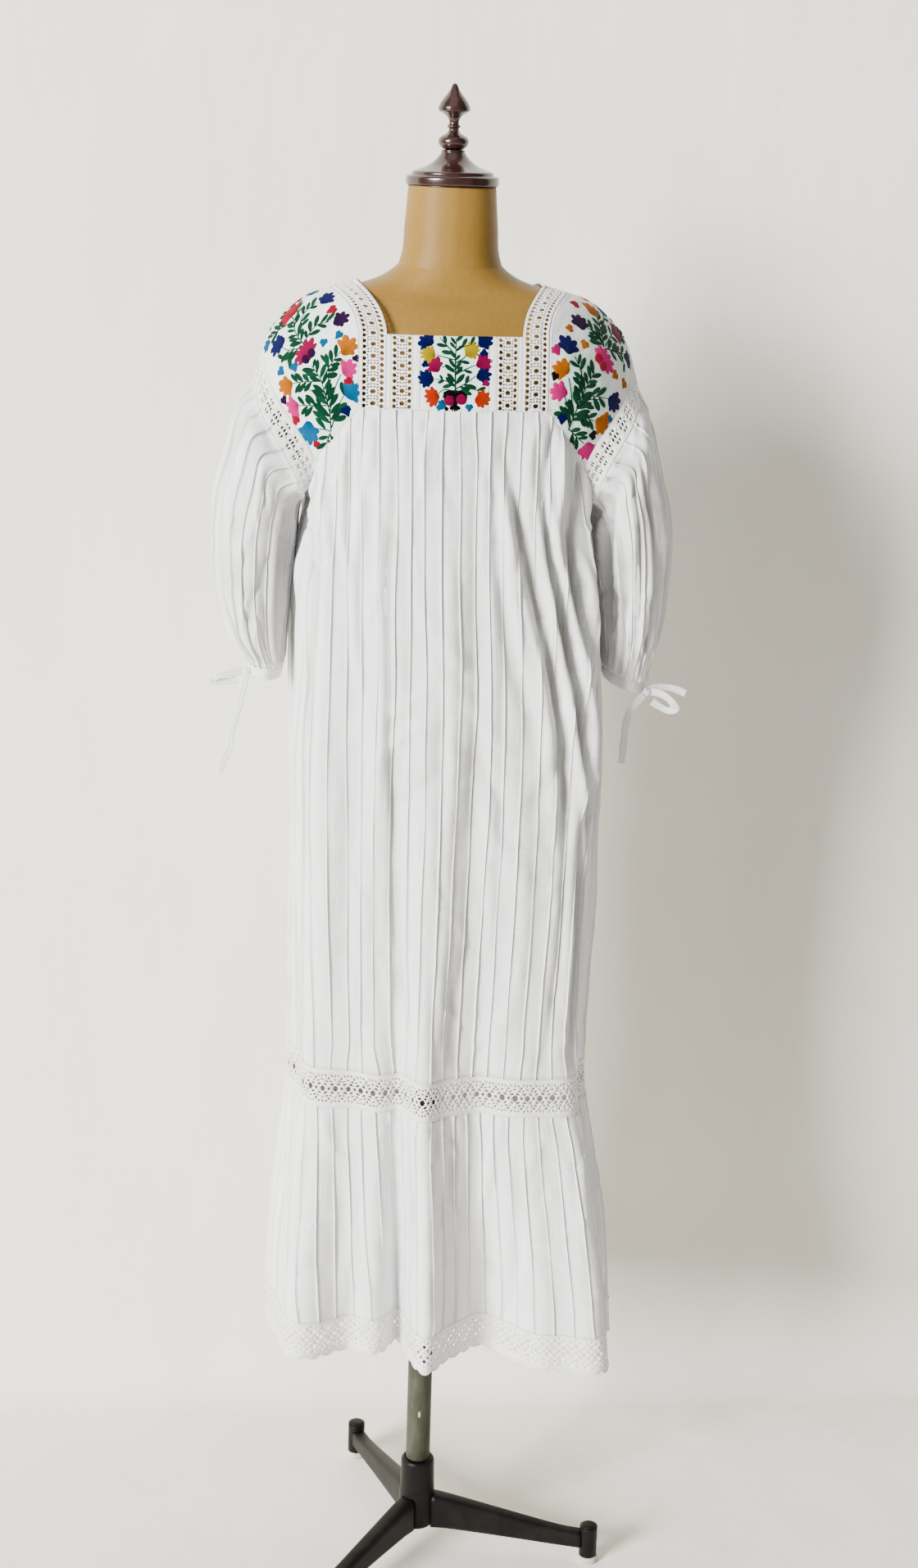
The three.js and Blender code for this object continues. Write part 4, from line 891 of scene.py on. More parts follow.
for back, side in enumerate(("front", "back")):
    columns = tuck_columns(TUCKS["flounce"])
    share = columns / TUCKS["flounce"]
    levels = np.linspace(LEVEL["lace_bottom"], LEVEL["hem_lace"], FLOUNCE_ROWS)
    heights = levels[:, None] + 0 * columns
    inner_part = (np.sin(np.pi * share) ** 0.5 * smoothstep(LEVEL["lace_bottom"] - heights, 0, 40)
                  * smoothstep(heights - LEVEL["hem_lace"], 0, 40))
    stray = tuck_wander(share * FLOUNCE_WIDE, heights, 73) / FLOUNCE_WIDE * inner_part
    points = hanging(side, share + stray, heights)
    u = share * FLOUNCE_WIDE + 0 * heights
    ease = smoothstep(LEVEL["lace_bottom"] - levels, 0, 12) * smoothstep(levels - LEVEL["hem_lace"], 0, 12)
    gather = np.exp(-(LEVEL["lace_bottom"] - heights) / 60) * 1.4
    crumple = small_creases(93 + back, 60, FLOUNCE_WIDE, 370, 625)
    soft = (1.1 * creases(u, heights, FLOUNCE_CREASES[side]) + creases(u, heights, crumple)
            + 0.9 * ripple(u, heights, 15, 70) + 0.4 * ripple(u, heights, 16, 28)
            + cell_puff(columns, heights, 13 + back) * (1.3 + gather)) * ease[:, None]
    flounce = tucked_cloth(f"{side}_flounce", f"flounce_{side}", points, (u, heights), columns, soft, 83 + back)

# ---- Yoke ---------------------------------------------------------------------------------
# A square yoke: an embroidered middle, a narrow strip, a short crocheted band and a stitched
# edge on each side, front and back, with a crocheted strap over each shoulder.
YOKE_SIDES = {"front": (0.0, 3.0), "back": (12.0, 9.0)}
YOKE_GAPS = [
    *[(sx * 7.9, y, 4.9, 4.5, sx * 20) for sx in (-1, 1) for y in (-3.1, 3.0)], (0.2, -0.2, 5.2, 6.2, 8),
    *[(sx * x, y, long, 1.7, sx * turn) for sx in (-1, 1)
      for x, y, long, turn in ((4.2, -5.4, 3.0, 62), (4.7, -1.9, 2.4, 70), (4.8, 0.9, 2.4, 84),
                               (4.2, 4.2, 3.2, 112), (1.5, -4.9, 2.4, 48), (1.6, 4.6, 2.6, 130))],
]
YOKE_PITCH = 12.2
STRAP_WIDE = 27.0


def lane_point(low_lane, high_lane, mirror, share, step):
    """A point between two lanes of the yoke: share runs from the inner lane to the outer."""
    a, b = lane_x(low_lane, step), lane_x(high_lane, step)
    return yoke_point(mirror * (a + (b - a) * share), step)


def lane_surface(low_lane, high_lane, mirror, first, last, width):
    """A lane as a surface of (u, v): u across from its left edge, v down from its top end."""
    steps = np.linspace(first, last, 121)
    walked = walk(lane_point(low_lane, high_lane, mirror, 0.5, steps))

    def with_normals(u, v):
        share = u / width if (mirror > 0) == (first < 6.5) else 1 - u / width
        place = lane_point(low_lane, high_lane, mirror, share, np.interp(v, walked, steps))
        return place, outward(place)
    return with_normals, walked[-1]


def lane_shell(name, stands_for, surface, width, length, columns, rows, material, soft):
    u, v = np.meshgrid(np.linspace(0, width, columns), np.linspace(0, length, rows))
    place, normal = surface(u, v)
    facing = np.einsum("ijk,ijk->ij", grid_normals(place), normal).mean() > 0
    if not facing:
        u, place, normal = u[:, ::-1], place[:, ::-1], normal[:, ::-1]
    lift = soft(u, v)
    piece = cloth_shell(name, place, (lift, 0 * lift), np.stack([u, v], -1), material, normals=normal)
    return settle(piece, stands_for)


def yoke_lane(low_lane, high_lane, mirror, side):
    low, top = YOKE_SIDES[side]
    width = abs(LANE[high_lane][0] - LANE[low_lane][0])
    surface, length = lane_surface(low_lane, high_lane, mirror, top, low, width)
    return surface, width, length


def yoke_soft(u, v):
    """How far the yoke's middle stands off its smooth form."""
    return 0.35 * ripple(u, v, 41, 24)


def rounded_strip(u, v):
    """How far a narrow strip stands up along its middle."""
    return 0.5 * np.sin(np.pi * np.clip(u / u.max(), 0, 1))


def lane_gaps(width, length, spread):
    """The yoke's gaps down a lane, spread a little to its width and kept inside its ends."""
    count = int(round(length / YOKE_PITCH))
    gaps = [(width / 2 + x * spread, (k + 0.5) * length / count + y, long, wide, turned)
            for k in range(count) for x, y, long, wide, turned in YOKE_GAPS]
    return [g for g in gaps if 1.6 < g[1] < length - 1.6]


HANDS = (("left", -1), ("right", 1))
yoke_middles, yoke_trims = {}, {}
for side in ("front", "back"):
    low, top = YOKE_SIDES[side]
    steps = np.linspace(top, low, 30)
    walked = walk(yoke_point(0 * steps, steps))

    def middle_surface(u, v, steps=steps, walked=walked):
        place = yoke_point(u - LANE["middle"][0], np.interp(v, walked, steps))
        return place, outward(place)
    middle = lane_shell(f"{side}_yoke_middle", f"yoke_middle_{side}", middle_surface,
                        2 * LANE["middle"][0], walked[-1], 40, 44, stained_voile, yoke_soft)
    yoke_middles[side] = (middle, middle_surface, walked[-1])
    trims = []
    for hand, mirror in HANDS:
        for lane, low_lane, high_lane in (("strip", "middle", "strip"), ("edge", "short_lace", "edge")):
            surface, width, length = yoke_lane(low_lane, high_lane, mirror, side)
            trims.append(lane_shell(f"{side}_yoke_{lane}_{hand}", f"yoke_{lane}_{side}_{hand}", surface, width,
                                    length, 8, 26, voile, rounded_strip))
        surface, width, length = yoke_lane("strip", "short_lace", mirror, side)
        band = lace_piece(f"{side}_yoke_lace_{hand}", f"yoke_lace_{side}_{hand}", width, length,
                          lane_gaps(width, length, 1.0), surface, 2.2)
    yoke_trims[side] = trims

for hand, mirror in HANDS:
    surface, length = lane_surface("strap_inner", "strap_outer", mirror, 0.0, 12.0, STRAP_WIDE)
    strap = lace_piece(f"strap_crochet_{hand}", f"strap_lace_{hand}", STRAP_WIDE, length,
                       lane_gaps(STRAP_WIDE, length, 1.12), surface, 2.2)

# ---- Shoulder panels ----------------------------------------------------------------------
# A shaped voile panel lies over each shoulder from the chest to the shoulder blade, between
# the strap and the armhole. Both are covered in hand embroidery.
SHOULDER_ROWS, SHOULDER_COLUMNS = 110, 40
SHOULDER_WIDE, SHOULDER_STEP = 78, 34


def shoulder_soft(step, across):
    """How far the panel's cloth stands off its smooth form."""
    hold = np.sin(np.pi * np.clip(across, 0, 1)) ** 0.5 * np.sin(np.pi * np.clip(step, 0, 12) / 12) ** 0.3
    u, v = across * SHOULDER_WIDE, step * SHOULDER_STEP
    return (0.7 * ripple(u, v, 51, 30) + 0.4 * ripple(u, v, 52, 14)) * hold


shoulder_cloths = {}
for hand, mirror in HANDS:
    across, step = np.meshgrid(np.linspace(0, 1, SHOULDER_COLUMNS), np.linspace(12, 0, SHOULDER_ROWS))
    points = shoulder_point(mirror, step, across)
    facing = np.einsum("ijk,ijk->ij", grid_normals(points), outward(points)).mean() > 0
    if not facing:
        points, step, across = points[:, ::-1], step[:, ::-1], across[:, ::-1]
    flat = np.stack([across * SHOULDER_WIDE, step * SHOULDER_STEP], -1)
    soft = shoulder_soft(step, across)
    panel = cloth_shell(f"shoulder_cloth_{hand}", points, (soft, 0 * soft), flat, stained_voile,
                        normals=outward(points))
    shoulder_cloths[hand] = settle(panel, f"shoulder_panel_{hand}")

# ---- Armhole lace, sleeves and cuffs ------------------------------------------------------
# A crocheted band joins each puffed elbow sleeve to the body. The sleeve is pin-tucked voile,
# gathered at both ends, and its cuff is a narrow casing for the drawstring.
SLEEVES = {"left": [
    (231, 1432, 164, 1314, 91), (246, 1382, 165, 1300, 92), (258, 1335, 166, 1282, 90),
    (260.5, 1282, 168, 1256, 85), (256, 1230, 172, 1220, 77), (242, 1180, 176, 1178, 64),
    (218, 1145, 178, 1142, 46),
], "right": [
    (226, 1432, 164, 1314, 91), (238, 1388, 165, 1300, 92), (251, 1335, 167, 1282, 90),
    (255.5, 1282, 171, 1256, 85), (254, 1230, 177, 1220, 78), (249, 1172, 183, 1180, 66),
    (238, 1128, 187, 1142, 48),
]}
CUFF = {"height": 14.0, "pinch": 2.0}
ARMHOLE_GAPS = [
    (0, 0, 5.6, 2.5, 0), (-3.6, 0.6, 5.2, 2.3, 8), (3.6, 0.6, 5.2, 2.3, -8), (-1.8, -6.6, 4.8, 2.2, 12),
    (1.8, -6.6, 4.8, 2.2, -12), (-1.8, 7.2, 4.8, 2.2, -12), (1.8, 7.2, 4.8, 2.2, 12),
    (6, -2.6, 2.2, 1.3, 0), (6, 3.2, 2.2, 1.3, 0),
]
# Creases of a sleeve: place round it from the underarm by the front, down, tilt, length, width, depth.
SLEEVE_CREASES = {"left": [
    (84, 168, 0, 128, 5, 4.6), (63, 165, 0, 128, 10, -6.4), (36, 150, 0, 120, 9, 3),
    (118, 60, -8, 46, 5, -2.6), (132, 70, -6, 56, 5, 2.4), (158, 52, 6, 44, 5, -2.4),
    (176, 60, 8, 50, 5, 2.6), (204, 48, 10, 46, 5, -2.4), (226, 70, 6, 60, 5, 2.2),
    (120, 238, 24, 34, 5, 2.8), (132, 226, 38, 30, 5, -2.4), (152, 246, 12, 30, 5, 2.6),
    (104, 252, -18, 26, 5, -2.4), (176, 238, -22, 32, 5, 2.2), (192, 250, -30, 26, 5, -2.4),
    (214, 240, -14, 36, 5, 2.4), (230, 180, -3, 90, 5, 1.8), (238, 200, 3, 70, 5, -2),
    (140, 150, 34, 40, 7, 1.5), (176, 140, -40, 36, 7, 1.3), (160, 190, 46, 34, 7, -1.5),
    (280, 150, -2, 110, 7, -3.2), (300, 150, -2, 110, 7, 2.8), (340, 160, 2, 110, 7, -3.2),
    (372, 150, 2, 110, 7, 2.6), (404, 160, 1, 110, 7, -3), (440, 160, -1, 100, 7, 2.6),
    (318, 250, 22, 26, 5, 2.2),
], "right": [
    (83, 165, -3, 130, 4.5, 4), (92, 165, -3, 130, 5, -4.6), (114, 160, -2, 125, 4.5, 4.4),
    (124, 165, -2, 125, 5, -6), (148, 160, 1, 125, 4.5, 3.8), (158, 170, 1, 120, 5, -5),
    (182, 170, 3, 110, 5, 3), (196, 160, 4, 110, 5, -3.8), (208, 150, 4, 120, 4.5, 3),
    (56, 150, -8, 110, 9, -5.2), (36, 150, -6, 110, 8, 3), (100, 246, 20, 26, 5, 2.8),
    (112, 254, -24, 24, 5, -2.8), (134, 248, 26, 26, 5, 2.8), (150, 256, -20, 22, 5, -2.8),
    (172, 248, 24, 28, 5, 2.6), (190, 240, -20, 36, 5, -2.6), (212, 246, 16, 32, 5, 2.6),
    (232, 220, 4, 60, 5, -2.6), (70, 240, -24, 26, 5, 2.4), (96, 40, 8, 40, 5, 2.6),
    (140, 44, -6, 40, 5, -2.4), (176, 46, 8, 40, 5, 2.4), (220, 44, 6, 46, 5, -2.4),
    (280, 150, -2, 110, 7, -3.4), (304, 150, -2, 110, 7, 3), (344, 160, 2, 110, 7, -3.4),
    (376, 150, 2, 110, 7, 2.8), (408, 160, 1, 110, 7, -3.2), (446, 160, -1, 100, 7, 2.8),
    (322, 250, 22, 26, 5, 2.2),
]}


def sleeve_knots(hand, column):
    """The sleeve's guiding rings: the lace edge, then the table's rows."""
    turns = np.asarray(column) / 20 * 2 * np.pi
    up_share = 0.5 - 0.5 * np.cos(turns)
    rings = [armhole_point(ARMHOLE_SLEEVE_EDGE, column)]
    for outer, outer_z, inner, inner_z, deep in SLEEVES[hand]:
        rings.append(np.stack([inner + (outer - inner) * up_share, -deep * np.sin(turns),
                               inner_z + (outer_z - inner_z) * up_share], -1))
    return np.array(rings)


def through_rings(rings, at):
    """A smooth reading across a stack of rings."""
    last = len(rings) - 1
    at = np.clip(at, 0, last)
    low = min(int(at), last - 1)
    t = at - low
    rise = (rings[low + 1] - rings[max(low - 1, 0)]) / (1 if low == 0 else 2)
    fall = (rings[min(low + 2, last)] - rings[low]) / (1 if low + 1 == last else 2)
    return smooth_run(t, rings[low], rings[low + 1], rise, fall)


def mirrored(points, mirror):
    return points * np.array([mirror, 1, 1])


SLEEVE_ROWS, SLEEVE_WIDE, SLEEVE_DOWN = 76, 500, 43
ARMHOLE_LONG, ARMHOLE_WIDE, ARMHOLE_REPEATS = 450.0, 30.0, 34
for at_right, (hand, mirror) in enumerate(HANDS):
    def armhole_surface(u, v, mirror=mirror):
        column = np.mod(u / ARMHOLE_LONG * 20, 20)
        column = column if mirror > 0 else np.mod(20 - column, 20)
        share = v / ARMHOLE_WIDE
        body, sleeve = armhole_point(ARMHOLE_BODY_EDGE, column), armhole_point(ARMHOLE_SLEEVE_EDGE, column)
        point = body + (sleeve - body) * share[..., None]
        under = np.maximum(np.cos(column / 20 * 2 * np.pi), 0) ** 2
        point[..., 2] += 7 * under * 4 * share * (1 - share)
        return mirrored(point, mirror)
    gaps = [((k + 0.5) * ARMHOLE_LONG / ARMHOLE_REPEATS + x * 0.95, ARMHOLE_WIDE / 2 + y, long, wide, turned)
            for k in range(ARMHOLE_REPEATS) for x, y, long, wide, turned in ARMHOLE_GAPS]
    gaps = [g for g in gaps if 60 <= g[0] <= ARMHOLE_LONG - 60]
    band = lace_piece(f"armhole_crochet_{hand}", f"armhole_lace_{hand}", ARMHOLE_LONG, ARMHOLE_WIDE,
                      gaps, surface_frame(armhole_surface), 2.6)

    columns = tuck_columns(TUCKS["sleeve"], ring=True)
    knots = sleeve_knots(hand, columns if mirror > 0 else np.mod(20 - columns, 20))
    places = np.linspace(0, 7, SLEEVE_ROWS)
    points = mirrored(np.array([through_rings(knots, at) for at in places]), mirror)
    u, v = np.meshgrid(columns * SLEEVE_WIDE / 20, places * SLEEVE_DOWN)
    ends = (smoothstep(places, 0, 0.25) * smoothstep(7 - places, 0, 0.25))[:, None]
    gather = 3.6 * (np.exp(-v / 42) + np.exp(-(7 * SLEEVE_DOWN - v) / 42))
    blend = np.minimum(smoothstep(columns, 0, 1.2), smoothstep(20 - columns, 0, 1.2))
    crumple = small_creases(95 + at_right, 70, SLEEVE_WIDE, 12, 290, 1.15)
    soft = 1.15 * creases(u if mirror > 0 else SLEEVE_WIDE - u, v, SLEEVE_CREASES[hand])
    soft = (soft + creases(u, v, crumple) + ripple(u, v, 63, 60) + 0.5 * ripple(u, v, 64, 26)) * blend * ends
    soft = soft + cell_puff(columns, v, 61 + at_right) * (1.4 + gather) * ends * blend
    soft = soft - 2.6 * ends + 5.0 * (1 - blend) * ends
    sleeve = tucked_cloth(f"sleeve_cloth_{hand}", f"sleeve_{hand}", points, (u, v), columns, soft,
                          85 + at_right, high=2.4, ring=True)

    around, down = np.arange(0, 20, 0.1), np.linspace(0, 1, 9)[:, None]
    turns = (around if mirror > 0 else np.mod(20 - around, 20)) / 20 * 2 * np.pi
    outer, outer_z, inner, inner_z, deep = SLEEVES[hand][-1]
    pinch, fall = CUFF["pinch"] * down, CUFF["height"] * down
    share = 0.5 - 0.5 * np.cos(turns)
    points = mirrored(np.stack([inner + pinch + (outer - inner - 2 * pinch) * share,
                                -(deep - pinch) * np.sin(turns),
                                inner_z - fall + (outer_z - inner_z) * share], -1), mirror)
    u, v = np.meshgrid(around * 15, CUFF["height"] * down)
    pleats = 0.55 * np.sin(u * 1.25 + 0.8 * np.sin(u * 0.21)) * np.sin(np.pi * (v / CUFF["height"] * 0.8 + 0.1))
    casing = 0.6 * np.sin(np.pi * np.clip(v / CUFF["height"], 0, 1))
    cuff = cloth_shell(f"cuff_casing_{hand}", points, (pleats + casing - 0.5, 0 * u), np.stack([u, v], -1),
                       voile, ring=True, thick=1.2)
    settle(cuff, f"cuff_{hand}")

# ---- Embroidery ---------------------------------------------------------------------------
# Flowers, buds, hearts and leaves in satin stitch with stem-stitched stalks, worked by hand in
# bright cotton on the shoulder panels and the yoke's middles. The green has bled a little.
THREADS = {
    "green": (0.001, 0.044, 0.018), "leaf": (0.003, 0.062, 0.026), "magenta": (0.225, 0.0, 0.046),
    "crimson": (0.32, 0.0, 0.020), "pink": (0.58, 0.012, 0.18), "purple": (0.018, 0.0, 0.032),
    "navy": (0.0, 0.002, 0.070), "sky": (0.0, 0.10, 0.24), "orange": (0.42, 0.112, 0.0),
    "yellow": (0.42, 0.30, 0.0), "flame": (0.44, 0.022, 0.0), "black": (0.002, 0.0, 0.002),
}
PAD_HIGH = 0.75


def fan_outline(size, seed, petals):
    """A fan-shaped flower: a serrated head over a narrower foot, opening upwards."""
    draw = np.random.default_rng(seed)
    angle = np.linspace(-np.pi, np.pi, 84, endpoint=False)
    open_part = smoothstep(np.cos(angle), -0.75, 0.2)
    teeth = np.abs(np.cos(angle * petals / 2 + draw.uniform(-0.3, 0.3))) ** 0.8
    uneven = 1 + 0.08 * np.sin(angle * 2 + draw.uniform(0, 6)) + 0.05 * np.sin(angle * 3 + draw.uniform(0, 6))
    reach = size * uneven * (0.54 + 0.20 * open_part + 0.36 * teeth * open_part)
    return np.stack([np.sin(angle) * reach * 0.92, np.cos(angle) * reach], 1)


def heart_outline(size):
    angle = np.linspace(-np.pi, np.pi, 36, endpoint=False)
    notch, point = np.exp(-(angle / 0.35) ** 2), np.exp(-((np.abs(angle) - np.pi) / 0.4) ** 2)
    lobes = np.abs(np.sin(angle)) ** 0.8 * (np.cos(angle) > -0.2)
    reach = size * (0.78 + 0.30 * lobes - 0.22 * notch + 0.30 * point)
    return np.stack([np.sin(angle) * reach * 0.85, np.cos(angle) * reach], 1)


def disc_outline(size, seed):
    angle = np.linspace(-np.pi, np.pi, 44, endpoint=False)
    reach = size * (1 + 0.03 * np.sin(angle * 3 + seed))
    return np.stack([np.sin(angle) * reach, np.cos(angle) * reach], 1)


def leaf_outline(long, wide):
    """A leaf from its foot at the stalk: narrow there, broad and round near its end."""
    down = np.linspace(0, 1, 9)
    half = wide / 2 * np.sin(np.pi * down ** 0.9) ** 0.62 * (0.6 + 0.55 * down)
    half[0], half[-1] = 0.25, 0.1
    left = np.stack([-half, down * long], 1)
    return np.vstack([left, np.stack([half, down * long], 1)[::-1]])


def motif(size, seed, petals, fan_size, heart_size):
    """The outline of a flower, of a heart (two petals) or of a dot (none), and how its stitches lie."""
    if petals > 2:
        return fan_outline(size * fan_size, seed, petals), "radial"
    return heart_outline(size * heart_size) if petals else disc_outline(size * heart_size, seed), None


PATCH_RINGS = [(1.0, -0.35), (0.93, 0.45), (0.72, 0.85), (0.35, 1.0)]
LEAF_RINGS = [(1.0, -0.35), (0.86, 0.6), (0.40, 1.0)]


class Needlework:
    """Gathers the stitched patches and stalks laid on one surface, then makes one piece."""

    def __init__(self, surface):
        self.surface, self.count = surface, 0
        self.points, self.faces, self.flat, self.colours, self.greens = [], [], [], [], []
        self.heads, self.leaves, self.lines = [], [], []

    def at(self, p, q):
        """The surface's point and its outward direction at one place."""
        return self.surface(np.array(p), np.array(q))

    def frame_at(self, place):
        """A place's own directions to the right and up, and the way back from millimetres to places."""
        p, q = place
        normal = self.at(p, q)[1]
        dp = (self.at(p + 0.01, q)[0] - self.at(p - 0.01, q)[0]) / 0.02
        dq = (self.at(p, q + 0.002)[0] - self.at(p, q - 0.002)[0]) / 0.004
        up_way = unit(dp - normal * np.dot(dp, normal))
        right_way = np.cross(up_way, normal)
        return right_way, up_way, np.linalg.pinv(np.stack([dp, dq], 1))

    def lay(self, place, shape, lift):
        """Points of a flat shape laid on the surface at a place, raised by lift."""
        right_way, up_way, back = self.frame_at(place)
        spot = np.array(place) + (shape[:, :1] * right_way + shape[:, 1:] * up_way) @ back.T
        here, normal = self.surface(spot[:, 0], spot[:, 1])
        return here + normal * lift[:, None]

    def add(self, points, faces, flat, colour):
        self.points.append(points)
        self.flat.append(flat)
        self.faces += [tuple(k + self.count for k in face) for face in faces]
        self.colours.append(np.tile([*THREADS[colour], 1.0], (len(points), 1)))
        self.count += len(points)

    def patch(self, place, outline, turn, colour, high=PAD_HIGH, across=None, base=0.0, steps=PATCH_RINGS):
        """A padded patch of satin stitch, turned in its place, with its stitches aslant or radial."""
        a = math.radians(turn)
        spin = np.array([[math.cos(a), -math.sin(a)], [math.sin(a), math.cos(a)]])
        middle = outline.mean(0)
        n, r = len(outline), len(steps)
        shape = np.vstack([middle + (outline - middle) * share for share, _ in steps] + [middle[None]])
        lift = np.append(np.repeat([base + high * level for _, level in steps], n), base + high)
        if across == "radial":
            foot = shape - np.array([0, -abs(outline[:, 1]).max() * 0.6])
            flats = np.stack([np.arctan2(foot[:, 0], foot[:, 1]) * 9, np.hypot(*foot.T)], 1)
        else:
            flats = np.stack([shape[:, 1] * 0.8 + shape[:, 0] * 0.6, shape[:, 0] * 0.8 - shape[:, 1] * 0.6], 1)
        faces = ring_faces(r, n)[:-2] + [((r - 1) * n + j, (r - 1) * n + (j + 1) % n, r * n) for j in range(n)]
        points = self.lay(place, shape @ spin, lift)
        a, b, c = points[list(faces[0][:3])]
        if np.dot(np.cross(b - a, c - a), self.at(*place)[1]) < 0:
            faces = [tuple(reversed(face)) for face in faces]
        self.add(points, faces, flats / 1000, colour)

    def stalk(self, places):
        """A stalk through places; returns its dense line of places and of points."""
        table = np.concatenate([np.linspace(0, 1, len(places))[:, None], places], 1)
        dense = read_table(table, np.linspace(0, 1, 14 * (len(places) - 1) + 1))
        here, normal = self.surface(dense[:, 0], dense[:, 1])
        self.add(*tube(here + normal * 0.15, np.linspace(0.75, 0.75 * 0.65, len(dense))), "green")
        self.greens.append(here)
        self.lines.append(here)
        return dense, here

    def head(self, place, outline, turn, colour, **layout):
        """A flower or a heart, which keeps the leaves off itself."""
        self.heads.append((self.at(*place)[0], np.abs(outline).max() * 0.72))
        self.patch(place, outline, turn, colour, **layout)

    def has_room(self, points):
        """Whether a leaf through these points keeps clear of the other leaves and heads."""
        if any(np.linalg.norm(points[1:] - middle, axis=1).min() < reach for middle, reach in self.heads):
            return False
        for taken, gap in ((self.leaves, 3.5), (self.lines, 1.6)):
            if taken:
                near = np.linalg.norm(np.concatenate(taken)[:, None] - points[None, 1:], axis=2).min()
                if near < gap:
                    return False
        return True

    def sprig(self, places, pitch, long, seed, spread):
        """A stalk with leaves on both sides, shortened or left out where there is no room."""
        draw = np.random.default_rng(seed)
        dense, line = self.stalk(places)
        walked = walk(line)
        at, side = walked[-1] * 0.1, -1
        while at < walked[-1] * 0.97:
            spot, before, after = (tuple(float(np.interp(t, walked, dense[:, j])) for j in (0, 1))
                                   for t in (at, max(at - 3, 0), min(at + 3, walked[-1])))
            right_way, up_way, _ = self.frame_at(spot)
            run = self.at(*after)[0] - self.at(*before)[0]
            heading = math.degrees(math.atan2(np.dot(run, right_way), np.dot(run, up_way)))
            size = long * draw.uniform(0.82, 1.12) * (1 - 0.25 * at / walked[-1])
            turn = heading + side * (spread + draw.uniform(-9, 9))
            shade = "leaf" if draw.uniform() < 0.35 else "green"
            broad = draw.uniform(0.38, 0.44)
            a = math.radians(turn)
            for length in (size, size * 0.86, size * 0.72, size * 0.6):
                reach = np.array([[math.sin(a), math.cos(a)]]) * np.array([[0.25], [0.6], [0.95]]) * length
                points = self.lay(spot, reach, np.zeros(3))
                if self.has_room(points):
                    leaf = leaf_outline(length, length * broad * (size / length) ** 0.5)
                    self.patch(spot, leaf, turn, shade, high=0.6, steps=LEAF_RINGS)
                    self.leaves.append(points)
                    self.greens.append(points)
                    break
            at += pitch * draw.uniform(0.85, 1.15) / 2
            side = -side

    def finish(self, name):
        piece = make_mesh(name, np.concatenate(self.points), self.faces, np.concatenate(self.flat), stitched)
        colours = piece.data.color_attributes.new("thread_colour", "FLOAT_COLOR", "POINT")
        colours.data.foreach_set("color", np.concatenate(self.colours).astype(np.float32).ravel())
        return settle(piece)

    def bleed_on(self, cloth, reach):
        """Marks the cloth near the green threads, where their dye has run."""
        spots = np.concatenate(self.greens)
        corners = np.empty(len(cloth.data.vertices) * 3)
        cloth.data.vertices.foreach_get("co", corners)
        corners = corners.reshape(-1, 3) * 1000 - POLE
        near = np.array([np.sqrt(((spots - c) ** 2).sum(1).min()) for c in corners])
        amount = np.clip(1 - near / reach, 0, 1) ** 0.7
        layer = cloth.data.attributes.new("bleed", "FLOAT", "POINT")
        layer.data.foreach_set("value", amount.astype(np.float32))


stitched = shader("satin_stitch", (0.5, 0.5, 0.5), 0.6, Specular_IOR_Level=0.06)
thread_colour = node(stitched, "ShaderNodeAttribute", attribute_name="thread_colour").outputs["Color"]
strands = pattern(stitched, "Wave", uv_place(stitched), Scale=430.0, Distortion=1.2, Detail=1.0)
worn = pattern(stitched, "Noise", object_place(stitched), Scale=160.0, Detail=2.0)
# Painted shade: the colour darkens in the grooves between the satin strands.
strand_shade = ramp(stitched, strands, [(0.0, (0.58, 0.58, 0.58)), (0.6, (1, 1, 1))])
worn_shade = ramp(stitched, worn, [(0.3, (0.86, 0.86, 0.86)), (0.7, (1, 1, 1))])
connect(stitched, multiplied(stitched, thread_colour, strand_shade, worn_shade), "Base Color")
connect(stitched, bump(stitched, strands, 0.8, 0.0006), "Normal")

